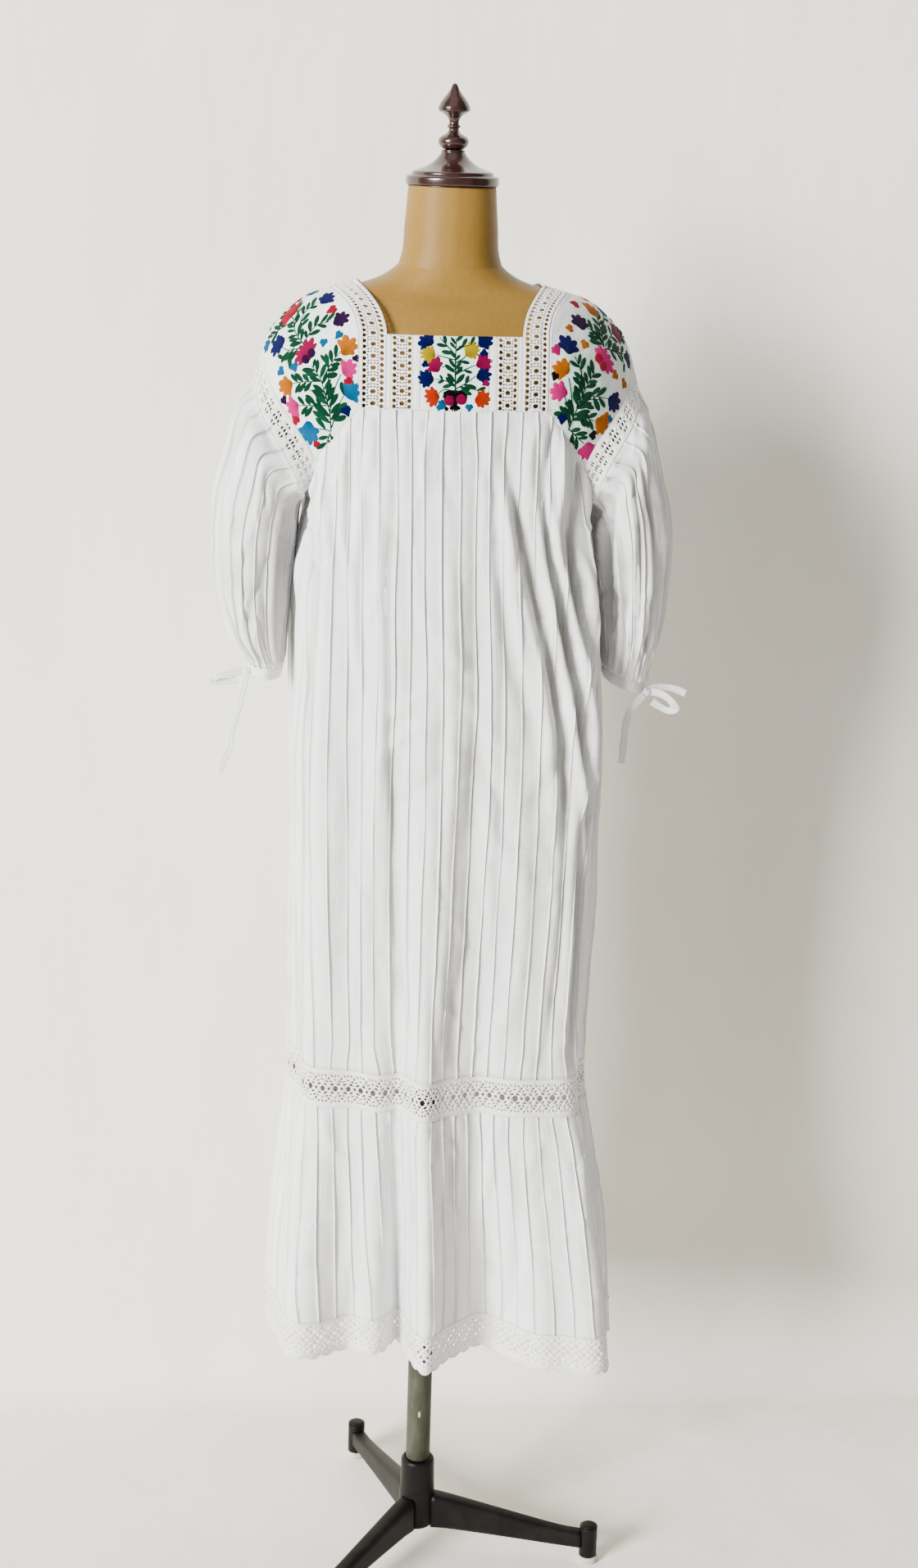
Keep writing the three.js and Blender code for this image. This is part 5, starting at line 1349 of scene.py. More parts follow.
# Shoulder work: step up the panel, place across, size, colour, turn, petals (two make a heart).
SHOULDER_FLOWERS = {"left": [
    (5.4, 0.47, 11.5, "crimson", -20, 8), (4.75, 0.16, 8.6, "navy", 70, 8),
    (4.2, 0.17, 5.6, "crimson", 100, 2), (3.75, 0.17, 8, "purple", 95, 9), (3.35, 0.21, 4.6, "sky", 60, 2),
    (3.45, 0.36, 4.4, "sky", 30, 2), (2.75, 0.16, 9, "orange", 50, 8), (2.1, 0.05, 3.6, "purple", -30, 2),
    (1.95, 0.18, 8, "pink", 70, 8), (1.5, 0.17, 4.8, "crimson", -160, 2), (1, 0.16, 8.6, "sky", 50, 8),
    (0.5, 0.25, 5.2, "navy", -20, 2), (4.75, 0.7, 10, "navy", -70, 9), (3.85, 0.82, 5, "sky", -20, 2),
    (3.5, 0.68, 5, "sky", 10, 2), (3.2, 0.82, 8.6, "orange", -75, 8), (2.95, 0.94, 4.4, "purple", 0, 2),
    (2.45, 0.87, 8, "pink", -80, 8), (2.1, 0.95, 5, "crimson", 180, 2), (1.4, 0.87, 10.6, "sky", -150, 8),
    (0.62, 0.86, 4, "crimson", 170, 2), (5.45, 0.83, 6.4, "sky", -60, 7), (5.7, 0.22, 6, "sky", 20, 7),
    (5.95, 0.36, 4.6, "crimson", 0, 2),
], "right": [
    (5, 0.29, 9, "orange", 10, 8), (2.2, 0.2, 8.8, "orange", -80, 9), (2, 0.87, 9.6, "orange", 80, 9),
    (3.7, 0.19, 4.4, "orange", 60, 2), (3.6, 0.37, 5, "orange", 0, 2), (3.75, 0.76, 5, "orange", 20, 2),
    (4, 0.91, 5.4, "orange", 0, 2), (4.1, 0.27, 8.6, "purple", -40, 8), (4.75, 0.13, 5.4, "crimson", 60, 2),
    (3.1, 0.22, 9.4, "navy", -10, 8), (2.7, 0.08, 5.4, "pink", -40, 2), (1.7, 0.1, 4.6, "black", 20, 2),
    (1.35, 0.21, 8.6, "pink", -90, 8), (0.5, 0.3, 5.6, "navy", 0, 2), (2.95, 0.86, 9, "navy", 85, 9),
    (2.4, 0.95, 4.2, "sky", 0, 2), (1.4, 0.87, 4.8, "black", 60, 2), (0.75, 0.9, 9.6, "pink", 150, 8),
    (5.35, 0.6, 9.6, "magenta", 40, 8), (5.1, 0.84, 8.6, "navy", 60, 8), (5.75, 0.2, 4.6, "pink", 0, 2),
    (5.8, 0.42, 6, "sky", 0, 7),
]}
SHOULDER_SPRIGS = {"left": [
    [(0.4, 0.56), (1.4, 0.51), (2.4, 0.49), (3.1, 0.53)], [(2.3, 0.49), (2.6, 0.36), (2.8, 0.22)],
    [(0.5, 0.54), (1, 0.4), (1.2, 0.24)], [(1.2, 0.51), (1.7, 0.38), (2, 0.26)],
    [(2.4, 0.5), (2.8, 0.64), (3.1, 0.76)], [(1.5, 0.52), (1.95, 0.68), (2.35, 0.81)],
    [(0.4, 0.57), (0.85, 0.68), (1.2, 0.78)], [(3.8, 0.52), (4.4, 0.53), (5, 0.48)],
    [(4.3, 0.52), (4.75, 0.4), (4.85, 0.24)], [(3.9, 0.5), (4.05, 0.36), (3.9, 0.25)],
    [(3.8, 0.56), (4.15, 0.66), (4.5, 0.7)], [(4.9, 0.5), (5.3, 0.64), (5.45, 0.76)],
    [(0.35, 0.58), (0.15, 0.66), (-0.02, 0.7)], [(1.9, 0.5), (2.15, 0.58), (2.6, 0.66)],
    [(1.75, 0.5), (2.3, 0.4), (2.75, 0.36)], [(4.6, 0.52), (5.1, 0.42), (5.5, 0.4)],
    [(4.1, 0.56), (3.95, 0.66), (4.05, 0.74)], [(5, 0.48), (5.6, 0.5), (6, 0.48)],
], "right": [
    [(0.35, 0.45), (1.2, 0.49), (2.1, 0.5), (3.1, 0.54)], [(2, 0.5), (2.6, 0.42), (3, 0.3)],
    [(2.1, 0.51), (2.5, 0.66), (2.85, 0.8)], [(1.2, 0.49), (1.5, 0.62), (1.8, 0.78)],
    [(0.4, 0.46), (0.55, 0.64), (0.7, 0.8)], [(1, 0.48), (1.6, 0.38), (2.1, 0.28)],
    [(0.6, 0.47), (1.1, 0.38), (1.35, 0.28)], [(4.1, 0.54), (4.6, 0.44), (5, 0.34)],
    [(4.1, 0.54), (4.2, 0.42), (4.15, 0.32)], [(4.1, 0.56), (4.5, 0.68), (5, 0.78)],
    [(4.2, 0.55), (4.8, 0.56), (5.3, 0.58)], [(0.5, 0.46), (0.75, 0.38), (0.8, 0.3)],
    [(1.6, 0.5), (2.1, 0.58), (2.5, 0.7)], [(1.5, 0.49), (2.2, 0.44), (2.75, 0.4)],
    [(4.5, 0.47), (5.1, 0.44), (5.6, 0.42)], [(4.4, 0.64), (4.7, 0.72), (4.6, 0.84)],
    [(5.1, 0.57), (5.6, 0.66), (5.9, 0.74)],
]}
BIG_FLOWERS = {"left": (3.5, 0.53, 13.0, "magenta", "purple", -15),
               "right": (3.65, 0.58, 14.0, "pink", "crimson", 25)}
COLOUR_ROUND = ["crimson", "orange", "navy", "pink", "sky", "purple", "magenta"]


def shoulder_needlework(hand, mirror):
    """The work on one shoulder: a front spray, and the other hand's spray turned over behind."""
    def surface(step, across):
        place = shoulder_point(mirror, step, across)
        normal = outward(place)
        return place + normal * (shoulder_soft(step, across) + VOILE / 2)[..., None], normal
    work = Needlework(surface)
    for behind, layout in ((False, hand), (True, "right" if hand == "left" else "left")):
        fold = (lambda step: 12 - step) if behind else (lambda step: step)
        flip = -1 if (mirror > 0) != (layout == "right") else 1
        for k, (step, across, size, colour, turned, petals) in enumerate(SHOULDER_FLOWERS[layout]):
            if behind:
                step, turned = fold(step), (180 - turned) * flip
                if colour in COLOUR_ROUND:
                    colour = COLOUR_ROUND[(COLOUR_ROUND.index(colour) + 3) % len(COLOUR_ROUND)]
            outline, laid = motif(size, 200 + k, petals, 1.55, 1.3)
            work.head((step, across), outline, turned, colour, across=laid)
        step, across, size, petal, heart, turned = BIG_FLOWERS[layout]
        place = (fold(step), across)
        turned = 180 - turned if behind else turned
        work.head(place, fan_outline(size * 1.3, 7, 11), turned, petal, across="radial")
        for shift in (-1, 1):
            lobe = disc_outline(size * 0.36, shift) * [1.0, 1.25] + [shift * size * 0.36, -size * 0.30]
            work.patch(place, lobe, turned, heart, high=0.5, base=0.5)
        for k, places in enumerate(SHOULDER_SPRIGS[layout]):
            work.sprig([(fold(s), a) for s, a in places], 6.6, 19.5, 100 + k, 46)
    return work


for hand, mirror in HANDS:
    work = shoulder_needlework(hand, mirror)
    stitches = work.finish(f"shoulder_embroidery_{hand}")
    work.bleed_on(shoulder_cloths[hand], 11)

# Yoke work, in millimetres across from the middle and up from the lower edge.
YOKE_WORK_HIGH = 81.5
YOKE_FLOWERS = [
    (-29, 74, 8.4, "navy", -60, 8), (29, 75, 8.8, "navy", 60, 8), (30, 63, 4.8, "navy", 180, 2),
    (-26.5, 60, 8.6, "yellow", -80, 12), (15, 64, 8.6, "yellow", 50, 12), (-32, 50, 4.2, "navy", -60, 2),
    (-21, 47, 8, "magenta", -30, 8), (27.5, 52, 8.4, "magenta", 70, 8), (-29, 34, 9, "navy", -80, 10),
    (27.5, 39, 7.8, "navy", 80, 9), (32.5, 31, 4.2, "magenta", 60, 2), (-22, 15, 8.4, "flame", -90, 10),
    (26.5, 13.5, 8.4, "flame", 90, 10), (-12.5, 8, 5, "sky", -120, 7), (-17, 3.4, 3.2, "sky", 0, 2),
    (15, 4.6, 4.4, "sky", 0, 2), (-9, 2.6, 2.2, "black", 0, 0),
]
YOKE_SPRIGS = [
    [(20, 0), (50, -0.5), (79, 0.5)], [(60, 0), (70, -9), (79, -17)], [(55, 0), (58, -12), (60, -20)],
    [(52, 0), (57, 8), (62, 12)], [(44, 0), (48, -8), (47, -15)], [(40, 0), (46, 12), (50, 21)],
    [(28, 0), (33, -12), (34, -21)], [(24, 0), (31, 12), (38, 21)], [(22, -1), (23, -12), (18, -19)],
    [(21, 1), (25, 14), (21, 26), (15, 24)], [(66, 0), (70, 10), (74, 22)],
]
# The small vase's body, stem, foot and two handles: place, half width, half height.
VASE = [(0, 19.4, 13.5, 3.6), (0, 10, 2.6, 9.5), (0, 3.6, 6, 3.4), (-10.4, 15.5, 2, 5), (10.8, 15.5, 2, 5)]
for side in ("front", "back"):
    middle, middle_surface, length = yoke_middles[side]

    def stitched_surface(up_from, across, surface=middle_surface, length=length, side=side):
        u = across + LANE["middle"][0]
        v = length - up_from * length / YOKE_WORK_HIGH
        place, normal = surface(u, v)
        return place + normal * (yoke_soft(u, v) + VOILE / 2)[..., None], normal
    work = Needlework(stitched_surface)
    for k, (x, z, size, colour, turned, petals) in enumerate(YOKE_FLOWERS):
        if side == "back":
            x, turned = -x, -turned
        outline, laid = motif(size, 400 + k, petals, 1.32, 1.1)
        work.head((z, x), outline, turned, colour, across=laid)
    for x, z, wide, high in VASE:
        work.patch((z, x), disc_outline(1.0, 3) * [wide, high], 0, "black", high=0.6, base=0.1)
    for x, z, size in ((-6.2, 11.5, 5.6), (6.6, 13, 5.9)):
        work.head((z, x), disc_outline(size, 1), 0, "magenta", base=0.3)
    for k, places in enumerate(YOKE_SPRIGS):
        work.sprig(places, 4.9, 15.5, 300 + k, 42)
    stitches = work.finish(f"{side}_yoke_embroidery")
    work.bleed_on(middle, 9)

# ---- Seam stitches and edgings ------------------------------------------------------------
# Hand stitches along the seams in thicker white cotton, and small crocheted knots that edge the
# neckline and both sides of the straps. One node tree sets them along each line of points.
seam_thread = shader("seam_thread", (0.88, 0.875, 0.86), 0.85, Specular_IOR_Level=0.12)
twist = pattern(seam_thread, "Wave", object_place(seam_thread), Scale=700.0, Distortion=3.0, Detail=1.0)
# Painted shade: the colour darkens in the grooves of the thread's twist.
twist_shade = ramp(seam_thread, twist, [(0.0, (0.80, 0.79, 0.77)), (0.7, (0.90, 0.895, 0.88))])
connect(seam_thread, twist_shade, "Base Color")
connect(seam_thread, bump(seam_thread, twist, 0.3, 0.0003), "Normal")

STITCH_INPUTS = [
    ("Pitch", "NodeSocketFloat"), ("Long", "NodeSocketFloat"), ("Wide", "NodeSocketFloat"),
    ("Seed", "NodeSocketInt"), ("Thread", "NodeSocketMaterial"),
]


def stitch_tree():
    """A node tree that sets an uneven row of short stitches along a line of edges."""
    tree = bpy.data.node_groups.new("stitch_row", "GeometryNodeTree")
    for label, kind in [("Geometry", "NodeSocketGeometry"), *STITCH_INPUTS]:
        tree.interface.new_socket(label, in_out="INPUT", socket_type=kind)
    tree.interface.new_socket("Geometry", in_out="OUTPUT", socket_type="NodeSocketGeometry")
    make = tree.nodes.new
    given, result = make("NodeGroupInput"), make("NodeGroupOutput")
    line, spread = make("GeometryNodeMeshToCurve"), make("GeometryNodeResampleCurve")
    spread.mode = "LENGTH"
    bead = make("GeometryNodeMeshUVSphere")
    bead.inputs["Segments"].default_value = 6
    bead.inputs["Rings"].default_value = 4
    bead.inputs["Radius"].default_value = 0.5
    smooth = make("GeometryNodeSetShadeSmooth")
    size, uneven = make("ShaderNodeCombineXYZ"), make("FunctionNodeRandomValue")
    uneven.data_type = "FLOAT"
    uneven.inputs[2].default_value, uneven.inputs[3].default_value = 0.78, 1.12
    scaled = make("ShaderNodeVectorMath")
    scaled.operation = "SCALE"
    along, turned = make("GeometryNodeInputTangent"), make("FunctionNodeAlignEulerToVector")
    turned.axis = "X"
    placed, real = make("GeometryNodeInstanceOnPoints"), make("GeometryNodeRealizeInstances")
    dressed = make("GeometryNodeSetMaterial")
    for source, output, target, socket in (
            (given, "Geometry", line, "Mesh"), (line, "Curve", spread, "Curve"),
            (given, "Pitch", spread, "Length"), (bead, "Mesh", smooth, "Geometry"), (given, "Long", size, "X"),
            (given, "Wide", size, "Y"), (given, "Wide", size, "Z"), (given, "Seed", uneven, "Seed"),
            (size, "Vector", scaled, "Vector"), (uneven, 1, scaled, "Scale"),
            (along, "Tangent", turned, "Vector"), (spread, "Curve", placed, "Points"),
            (smooth, "Geometry", placed, "Instance"), (turned, "Rotation", placed, "Rotation"),
            (scaled, "Vector", placed, "Scale"), (placed, "Instances", real, "Geometry"),
            (real, "Geometry", dressed, "Geometry"), (given, "Thread", dressed, "Material"),
            (dressed, "Geometry", result, "Geometry")):
        tree.links.new(source.outputs[output], target.inputs[socket])
    return tree


stitch_row = stitch_tree()


def stitched_lines(name, lines, pitch, long, wide, seed):
    """A plain mesh of stitches along lines of points in millimetres."""
    points, edges = [], []
    for row in lines:
        start = len(points)
        points += ((np.asarray(row) + POLE) / 1000).tolist()
        edges += [(start + k, start + k + 1) for k in range(len(row) - 1)]
    guide_mesh = bpy.data.meshes.new(f"{name}_guide")
    guide_mesh.from_pydata(points, edges, [])
    guide = new_object(f"{name}_guide", guide_mesh)
    modifier = guide.modifiers.new("stitches", "NODES")
    modifier.node_group = stitch_row
    values = {"Pitch": pitch / 1000, "Long": long / 1000, "Wide": wide / 1000, "Seed": seed,
              "Thread": seam_thread}
    for item in stitch_row.interface.items_tree:
        if item.item_type == "SOCKET" and item.in_out == "INPUT" and item.name in values:
            modifier[item.identifier] = values[item.name]
    seen = guide.evaluated_get(bpy.context.evaluated_depsgraph_get())
    mesh = bpy.data.meshes.new_from_object(seen)
    guide.modifiers.remove(modifier)
    bpy.data.objects.remove(guide)
    bpy.data.meshes.remove(guide_mesh)
    mesh.name = name
    if not mesh.materials:
        mesh.materials.append(seam_thread)
    return settle(new_object(name, mesh))


def raised_line(points, lift):
    return points + outward(points) * lift


ON_CLOTH = 0.75
seam_rows, knot_rows = [], []
for low, top in ((0.06, 2.95), (11.94, 9.05)):
    steps = np.linspace(low, top, 60)
    for x in (37.6, 43.9, 68.6, 71.4):
        for mirror in (-1, 1):
            seam_rows.append(raised_line(yoke_point(mirror * (x + 0 * steps), steps), ON_CLOTH))
    across = np.linspace(-71, 71, 90)
    seam_rows.append(raised_line(yoke_point(across, low + 0 * across), ON_CLOTH))
for mirror in (-1, 1):
    steps = np.linspace(0.1, 11.9, 240)
    for beside in (0.02, 0.98):
        seam_rows.append(raised_line(shoulder_point(mirror, steps, beside), ON_CLOTH))
    for inset in (1.3, 2.9):
        knot_rows.append(raised_line(yoke_point(mirror * (lane_x("strap_outer", steps) - inset), steps), 0.7))
    neck = np.linspace(3.0, 9.0, 160)
    for inset in (0.3, 2.0):
        knot_rows.append(raised_line(yoke_point(mirror * (lane_x("strap_inner", neck) + inset), neck), 0.7))
stitched_lines("seam_stitches", seam_rows, 2.9, 2.1, 0.62, 3)
stitched_lines("crocheted_edging", knot_rows, 1.9, 1.75, 1.35, 5)

# ---- Drawstring ties ----------------------------------------------------------------------
# A flat woven tape runs through each cuff's casing and is tied outside in a loose bow.
TIE = {"thick": 1.5, "knot": 9.0}
TIES = {
    "left": {"knot": (-219.2, -27.1, 1136), "tapes": [
        ("tie_loop_left", 9, [(-224.1, -28, 1136), (-237, -31, 1135), (-249, -33, 1132), (-257.5, -31, 1127.5),
                              (-251, -28.5, 1124), (-239, -27, 1124), (-230, -26.5, 1126)]),
        ("tie_tail_left", 8, [(-219.5, -27.5, 1131.1), (-222, -30.5, 1118), (-226, -32, 1100),
                              (-230, -32, 1084), (-236, -31, 1064), (-236, -30, 1052), (-243, -31, 1036),
                              (-249, -32, 1019)])]},
    "right": {"knot": (233.4, -37.3, 1119), "tapes": [
        ("tie_loop_right", 9, [(238.2, -37.8, 1119.5), (251, -40, 1117), (262, -41, 1109), (268, -39, 1099.5),
                               (260, -36.5, 1097), (249, -35.5, 1102), (241, -35, 1107)]),
        ("tie_end_right", 9, [(236.7, -34, 1120.6), (250, -31, 1123), (266, -29, 1121), (280.5, -28, 1115)]),
        ("tie_tail_right", 9, [(230.9, -39.8, 1115.5), (223, -42, 1108.5), (215, -42.5, 1097), (211, -42, 1079),
                               (210, -41, 1058), (208, -41, 1036)])]},
}


def tie_tape(name, stands_for, width, route):
    """A soft flat tape along a route: thicker woven edges, a little curl and uneven width."""
    table = np.concatenate([np.arange(len(route))[:, None], np.array(route, float)], 1)
    line = even_line(read_table(table, np.linspace(0, len(route) - 1, 200)), 18 * (len(route) - 1))
    along = unit(np.gradient(line, axis=0))
    flat_way = unit(np.array([0.0, -1, 0]) + along * along[:, 1:2])
    edge_way = unit(np.cross(along, flat_way))
    walked = walk(line)
    across = [(-1, 0), (-0.86, 1), (-0.45, 0.72), (0, 0.66), (0.45, 0.72), (0.86, 1), (1, 0), (0.86, -1),
              (0.45, -0.72), (0, -0.66), (-0.45, -0.72), (-0.86, -1)]
    rows = []
    for p, a, e, n, s in zip(line, along, edge_way, flat_way, walked):
        wide = width / 2 * (0.93 + 0.07 * math.sin(s * 0.21))
        curl = 0.5 * math.sin(s * 0.09)
        rows.append([p + e * (x * wide) + n * (y * TIE["thick"] / 2 + curl * x * x) for x, y in across])
    count = len(across)
    faces = ring_faces(len(rows), count)
    points = np.array(rows).reshape(-1, 3)
    first = np.cross(points[1] - points[0], points[count] - points[0])
    out = points[0] - line[0]
    flat = np.stack([np.repeat(walked, count), np.tile([x * width / 2 for x, _ in across], len(rows))], 1)
    if np.dot(first, out) > 0:
        faces = [tuple(reversed(face)) for face in faces]
    piece = make_mesh(name, points, faces, flat / 1000, voile)
    return settle(piece, stands_for), line, walked[-1]


def tie_knot(name, stands_for, place):
    """A pulled knot: a squashed ball with the tape's turns showing as grooves."""
    turns, rings = 28, 15
    theta = np.linspace(0, np.pi, rings)[1:-1]
    phi = np.arange(turns) / turns * 2 * np.pi
    t, f = np.meshgrid(theta, phi, indexing="ij")
    reach = TIE["knot"] / 2 * (1 + 0.10 * np.sin(3 * f + 2 * t) + 0.06 * np.cos(5 * t + f))
    body = np.stack([reach * np.sin(t) * np.cos(f), reach * np.sin(t) * np.sin(f), reach * np.cos(t)], -1)
    points = np.vstack([body.reshape(-1, 3), [[0, 0, TIE["knot"] / 2], [0, 0, -TIE["knot"] / 2]]])
    n, m = len(theta), turns
    faces = [(r * m + c, (r + 1) * m + c, (r + 1) * m + (c + 1) % m, r * m + (c + 1) % m)
             for r in range(n - 1) for c in range(m)]
    faces += [(n * m, c, (c + 1) % m) for c in range(m)]
    faces += [(n * m + 1, (n - 1) * m + (c + 1) % m, (n - 1) * m + c) for c in range(m)]
    flat = np.stack([points[:, 0] + points[:, 1], points[:, 2]], 1) / 1000
    return settle(make_mesh(name, points + np.array(place), faces, flat, voile), stands_for)


for hand, parts in TIES.items():
    knot = tie_knot(f"bow_knot_{hand}", f"tie_knot_{hand}", parts["knot"])
    made = {}
    for name, width, route in parts["tapes"]:
        made[name] = (*tie_tape(name.replace("tie", "bow"), name, width, route), width)
    tail, line, long, width = made[f"tie_tail_{hand}"]
    place = (line + POLE) / 1000
    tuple(place[0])

# ---- Dress form ---------------------------------------------------------------------------
# A limbless papier-mache torso covered in brown paper and varnished to a dull sheen. A ridge
# runs down the front of the neck, where the two halves of the cover meet.
FORM = [
    (930, 148, 88, 104), (980, 152, 90, 106), (1060, 138, 82, 94), (1150, 116, 76, 80), (1240, 128, 92, 86),
    (1310, 140, 107, 92), (1350, 146, 108, 94), (1400, 158, 107, 96), (1450, 171, 106, 97),
    (1490, 173, 101, 94), (1515, 163, 91, 87), (1538, 144, 75, 73), (1557, 127, 55, 57.5),
    (1564.4, 97, 54, 57), (1573, 74, 54, 57), (1588, 56, 52, 55), (1630, 50.5, 49, 52), (1669, 47.5, 47, 50),
]
FORM_SIDES = 88
NECK_SEAM = 1583.0
heights = np.concatenate([np.linspace(930, 1480, 60), np.linspace(1486, 1669, 92)])
side_half, front_deep, back_deep = read_table(FORM, heights).T
turns = np.arange(FORM_SIDES) / FORM_SIDES * 2 * np.pi
x = side_half[:, None] * squared(np.cos(turns), 2 / 2.2)
deep = np.where(np.sin(turns) < 0, front_deep[:, None], back_deep[:, None])
y = deep * squared(np.sin(turns), 2 / 2.2)
ridge = 0.9 * np.exp(-np.abs(x) / 5.0) * (y < 0) * smoothstep(heights, 1575, 1600)[:, None]
seam_dip = -0.7 * np.exp(-((heights[:, None] - NECK_SEAM - 0.06 * np.abs(x)) / 1.3) ** 2)
grow = 1 + (ridge + seam_dip) / np.maximum(np.hypot(x, y), 1)
levels = heights[:, None] + 0 * x
form_points = np.stack([x * grow, y * grow, levels], -1)
faces = ring_faces(len(heights), FORM_SIDES)
flat = np.stack([turns * 60 + 0 * x, levels], -1)
paper = shader("varnished_paper", (0.28, 0.14, 0.025), 0.5, Specular_IOR_Level=0.15)
fibre = pattern(paper, "Noise", object_place(paper, (260, 260, 40)), Scale=1.0, Detail=4.0)
mottle = pattern(paper, "Noise", object_place(paper), Scale=9.0, Detail=6.0)
crumb = pattern(paper, "Noise", object_place(paper), Scale=420.0, Detail=3.0)
base = ramp(paper, mottle, [(0.28, (0.205, 0.112, 0.019)), (0.72, (0.25, 0.142, 0.030))])
fleck = ramp(paper, fibre, [(0.35, (0.93, 0.92, 0.90)), (0.62, (1.0, 1.0, 1.0))])
connect(paper, multiplied(paper, base, fleck), "Base Color")
gloss = node(paper, "ShaderNodeMapRange", [(mottle, "Value")], To_Min=0.36, To_Max=0.56)
connect(paper, gloss.outputs[0], "Roughness")
connect(paper, bump(paper, crumb, 0.12, 0.0008, bump(paper, fibre, 0.1, 0.0006)), "Normal")
form = make_mesh("form_cover", form_points.reshape(-1, 3), faces, flat.reshape(-1, 2) / 1000, paper,
                 [len(faces) - 2, len(faces) - 1])
settle(form, "form_torso")

# ---- Neck cap and finial ------------------------------------------------------------------
# Turned hardwood, stained nearly black-brown and thickly varnished.
CAP_FOOT = 1669.3
CAP_PROFILE = [
    (0, 0), (46, 0), (48.5, 0.2), (50.2, 1.6), (50.6, 5), (50.4, 8.6), (48.6, 10.4), (45.4, 10.9),
    (44.6, 12.2), (43.5, 14.6), (38, 16.6), (32, 18.8), (26.5, 21.4), (22, 24.4), (18, 28), (15, 31.6),
    (12.8, 35), (12, 37.5), (0, 37.5),
]
FINIAL_PROFILE = [
    (0, 37.8), (9, 37.8), (13.4, 39.8), (15.8, 43), (16.6, 46), (15.6, 49.4), (12, 52.4), (8, 54.6),
    (5.8, 57.2), (5.6, 59.4), (7.2, 61.2), (7.2, 62.4), (5.6, 64.2), (5.6, 67.4), (7.6, 71.6), (12.6, 75.2),
    (16.6, 77.6), (17.1, 79.6), (16.9, 82), (14.6, 87), (11.4, 91.4), (8, 95.4), (5.2, 99.4), (3.8, 102.6),
    (2.2, 105.4), (0, 106.5),
]


def spun(name, stands_for, outline, foot, sides, material, spot=(0.0, 0.0), smooth_steps=4):
    """A turned piece from its outline of (radius, height)."""
    table = np.array([(k, *row) for k, row in enumerate(outline)], float)
    fine = read_table(table, np.linspace(0, len(outline) - 1, (len(outline) - 1) * smooth_steps + 1))
    fine[:, 0] = np.maximum(fine[:, 0], 0)
    rings = fine[1:-1]
    angles = np.arange(sides) / sides * 2 * np.pi
    body = np.stack([rings[:, :1] * np.cos(angles) + spot[0], rings[:, :1] * np.sin(angles) + spot[1],
                     rings[:, 1:] + foot + 0 * angles], -1)
    points = np.vstack([body.reshape(-1, 3), [(*spot, foot + fine[k, 1]) for k in (0, -1)]])
    n, m = len(rings), sides
    faces = ring_faces(n, m)[:-2] + [(n * m, (c + 1) % m, c) for c in range(m)]
    faces += [(n * m + 1, (n - 1) * m + c, (n - 1) * m + (c + 1) % m) for c in range(m)]
    flat = np.stack([np.tile(angles * 30, n), np.repeat(rings[:, 1], m)], 1)
    flat = np.vstack([flat, [[0, 0], [0, 0]]]) / 1000
    return settle(make_mesh(name, points, faces, flat, material), stands_for)


hardwood = shader("varnished_hardwood", (0.045, 0.014, 0.010), 0.24, Coat_Weight=0.35, Coat_Roughness=0.10)
grain = pattern(hardwood, "Noise", object_place(hardwood, (90, 90, 14)), Scale=1.0, Detail=5.0)
stain = ramp(hardwood, grain, [(0.3, (0.014, 0.005, 0.004)), (0.7, (0.034, 0.011, 0.008))])
connect(hardwood, stain, "Base Color")
connect(hardwood, bump(hardwood, grain, 0.06, 0.0006), "Normal")
spun("turned_cap", "neck_cap", CAP_PROFILE, CAP_FOOT, 72, hardwood)
spun("turned_finial", "finial", FINIAL_PROFILE, CAP_FOOT, 48, hardwood)

# ---- Stand --------------------------------------------------------------------------------
# A worn grey-green painted steel tube stands in a socket cast in one with three legs, which
# taper to round posts on small rubber pads. The casting is black, chipped along its edges.
POLE_TUBE = {"radius": 15.0, "bottom": 123.2}
HUB = {"bottom": 30.6, "top": 122.9}
LEG = {"reach": 218.2, "turns": (-12, 108, 231)}
FOOT = {"radius": 11.0, "top": 51.0, "bottom": 8.0, "pad": 13.0}

pole_paint = shader("worn_pole_paint", (0.115, 0.122, 0.095), 0.5, Specular_IOR_Level=0.15)
wear = pattern(pole_paint, "Noise", object_place(pole_paint, (60, 60, 16)), Scale=1.0, Detail=8.0,
               Roughness=0.65)
chips = pattern(pole_paint, "Voronoi", object_place(pole_paint, (1, 1, 0.35)), Scale=52.0)
chip_shape = ramp(pole_paint, chips, [(0.05, (1, 1, 1)), (0.10, (0, 0, 0))])
paint = ramp(pole_paint, wear, [(0.30, (0.028, 0.028, 0.018)), (0.55, (0.048, 0.049, 0.034)),
                                (0.75, (0.080, 0.082, 0.062))])
chipped = node(pole_paint, "ShaderNodeMix", [(chip_shape, "Factor"), (paint, "A")], data_type="RGBA",
               B=(0.42, 0.42, 0.38, 1))
connect(pole_paint, chipped.outputs["Result"], "Base Color")
connect(pole_paint, bump(pole_paint, wear, 0.12, 0.0006), "Normal")

cast_black = shader("black_cast_metal", (0.004, 0.0035, 0.0035), 0.45, Specular_IOR_Level=0.12)
sand = pattern(cast_black, "Noise", object_place(cast_black), Scale=300.0, Detail=4.0)
rub = pattern(cast_black, "Noise", object_place(cast_black), Scale=22.0, Detail=8.0, Roughness=0.7)
connect(cast_black, ramp(cast_black, rub, [(0.45, (0.004, 0.0035, 0.0035)), (0.72, (0.010, 0.009, 0.008)),
                                           (0.80, (0.040, 0.036, 0.033))]), "Base Color")
rough = node(cast_black, "ShaderNodeMapRange", [(rub, "Value")], To_Min=0.30, To_Max=0.55)
connect(cast_black, rough.outputs[0], "Roughness")
connect(cast_black, bump(cast_black, sand, 0.22, 0.0005), "Normal")

pad_rubber = shader("old_pad_rubber", (0.50, 0.48, 0.42), 0.8)
dust = pattern(pad_rubber, "Noise", object_place(pad_rubber), Scale=180.0, Detail=5.0)
dusty = ramp(pad_rubber, dust, [(0.3, (0.36, 0.34, 0.29)), (0.7, (0.60, 0.57, 0.50))])
connect(pad_rubber, dusty, "Base Color")
connect(pad_rubber, bump(pad_rubber, dust, 0.25, 0.0005), "Normal")

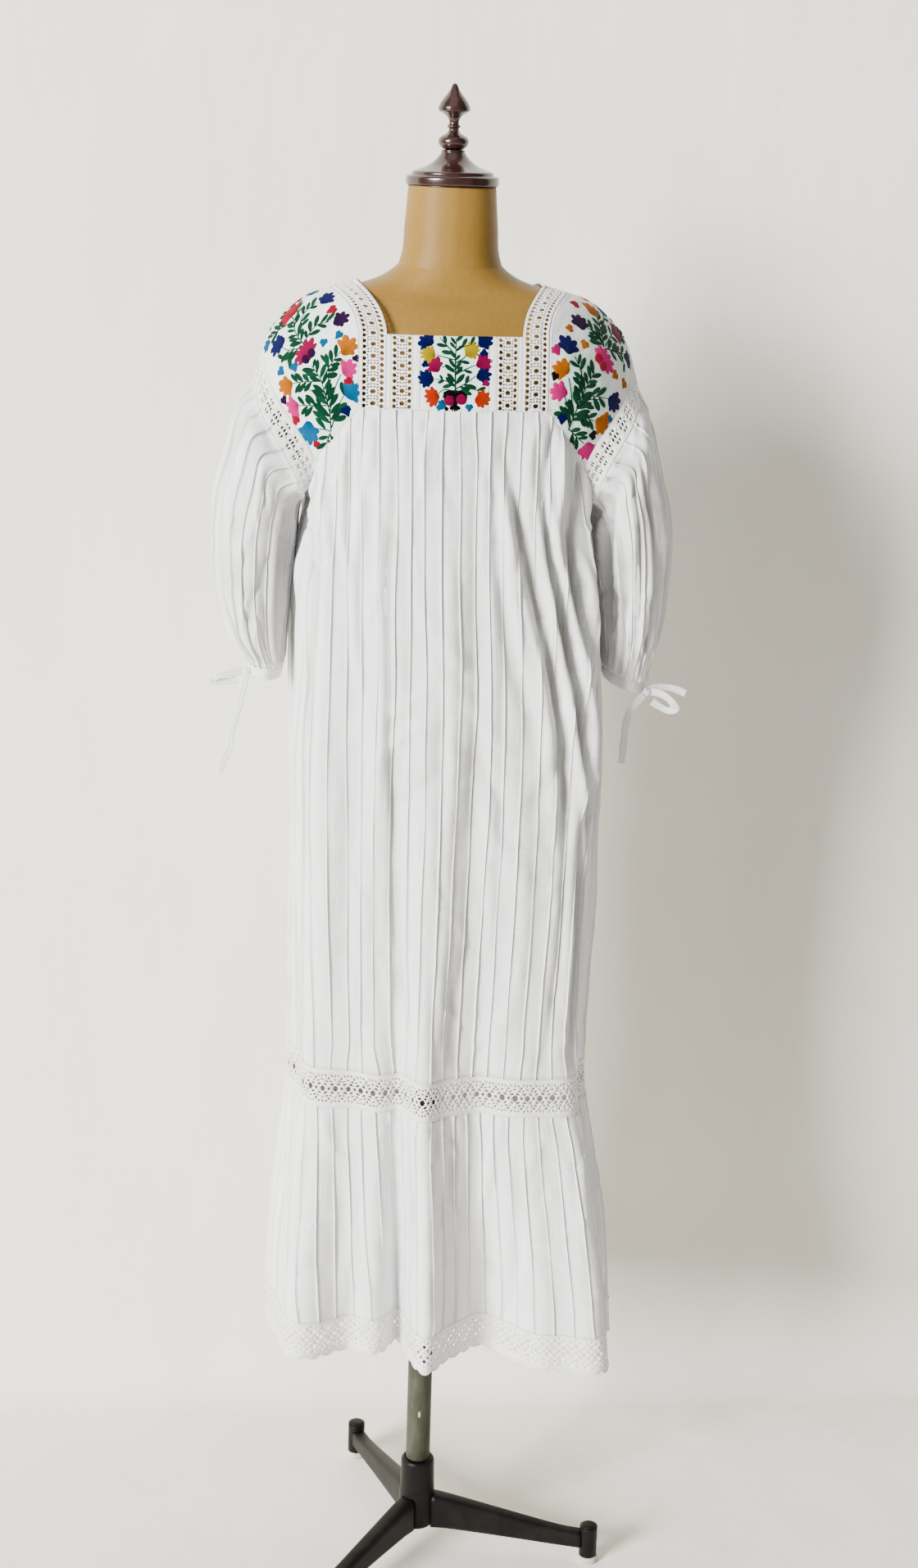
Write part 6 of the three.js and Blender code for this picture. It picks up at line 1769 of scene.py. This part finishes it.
r = POLE_TUBE["radius"]
tube_outline = [(0, 0), (r - 1, 0), (r, 0.8), *[(r, z) for z in np.linspace(40, 760, 10)], (r, 805.4),
                (r - 1, 806.3), (0, 806.3)]
spun("painted_pole", "pole", tube_outline, POLE_TUBE["bottom"], 64, pole_paint, smooth_steps=1)
high = HUB["top"] - HUB["bottom"]
hub_outline = [
    (0, 0), (17.5, 0), (20.5, 0.9), (22.2, 3.4), (22.5, 8), (22.3, 26), (21.8, 46), (21.2, 62), (20.9, 76),
    (20.8, high - 8), (20.5, high - 3.4), (19.2, high - 0.9), (17.2, high - 0.1), (15.9, high - 0.8),
    (15.5, high - 3), (15.3, high - 3.6), (0, high - 3.7),
]
spun("cast_socket", "stand_hub", hub_outline, HUB["bottom"], 72, cast_black, smooth_steps=2)

# A leg's section at shares of its length: height of its middle, how high and how wide it is.
LEG_SECTIONS = [
    (0.0, 50.5, 47.0, 25.0), (0.1, 49.4, 43.5, 23.6), (0.5, 39.6, 32.0, 20.4), (0.85, 31.0, 23.0, 18.2),
    (1.0, 29.0, 21.6, 18.4),
]
LEG_AROUND = 36
for index, turned in enumerate(LEG["turns"], start=1):
    a = math.radians(turned)
    out_way, side_way = np.array([math.cos(a), math.sin(a), 0]), np.array([-math.sin(a), math.cos(a), 0])
    shares = np.linspace(0, 1, 40)
    start, end = 19.5, LEG["reach"] - 8.5
    angles = np.arange(LEG_AROUND) / LEG_AROUND * 2 * np.pi
    rows = []
    for share in shares:
        z, tall, wide = read_table(LEG_SECTIONS, share)
        rows.append(out_way * (start + (end - start) * share)
                    + side_way * (squared(np.cos(angles), 0.5) * wide / 2)[:, None]
                    + np.array([0, 0, 1]) * (z + squared(np.sin(angles), 0.42) * tall / 2)[:, None])
    faces = ring_faces(len(rows), LEG_AROUND)
    flat = np.stack([np.repeat(shares * 200, LEG_AROUND), np.tile(angles * 12, len(rows))], 1) / 1000
    leg = make_mesh(f"cast_leg_{index}", np.concatenate(rows), faces, flat, cast_black,
                    [len(faces) - 2, len(faces) - 1])
    settle(leg, f"leg_{index}")
    spot = tuple(out_way[:2] * LEG["reach"])
    r, tall = FOOT["radius"], FOOT["top"] - FOOT["bottom"]
    post_outline = [(0, 0), (r - 2.5, 0), (r - 0.6, 0.9), (r, 3), (r, tall - 6), (r - 0.5, tall - 3.4),
                    (r - 2.6, tall - 1.0), (r - 6, tall - 0.1), (0, tall)]
    spun(f"foot_post_{index}", f"foot_{index}", post_outline, FOOT["bottom"], 40, cast_black,
         spot, 3)
    p = FOOT["pad"]
    pad_outline = [(0, 0), (p - 1.4, 0), (p - 0.3, 0.7), (p, 2), (p - 0.2, 5.4), (p - 1.2, 7.2),
                   (p - 2.6, 7.7), (0, 7.7)]
    spun(f"rubber_pad_{index}", f"foot_pad_{index}", pad_outline, 0.0, 36, pad_rubber, spot, 2)
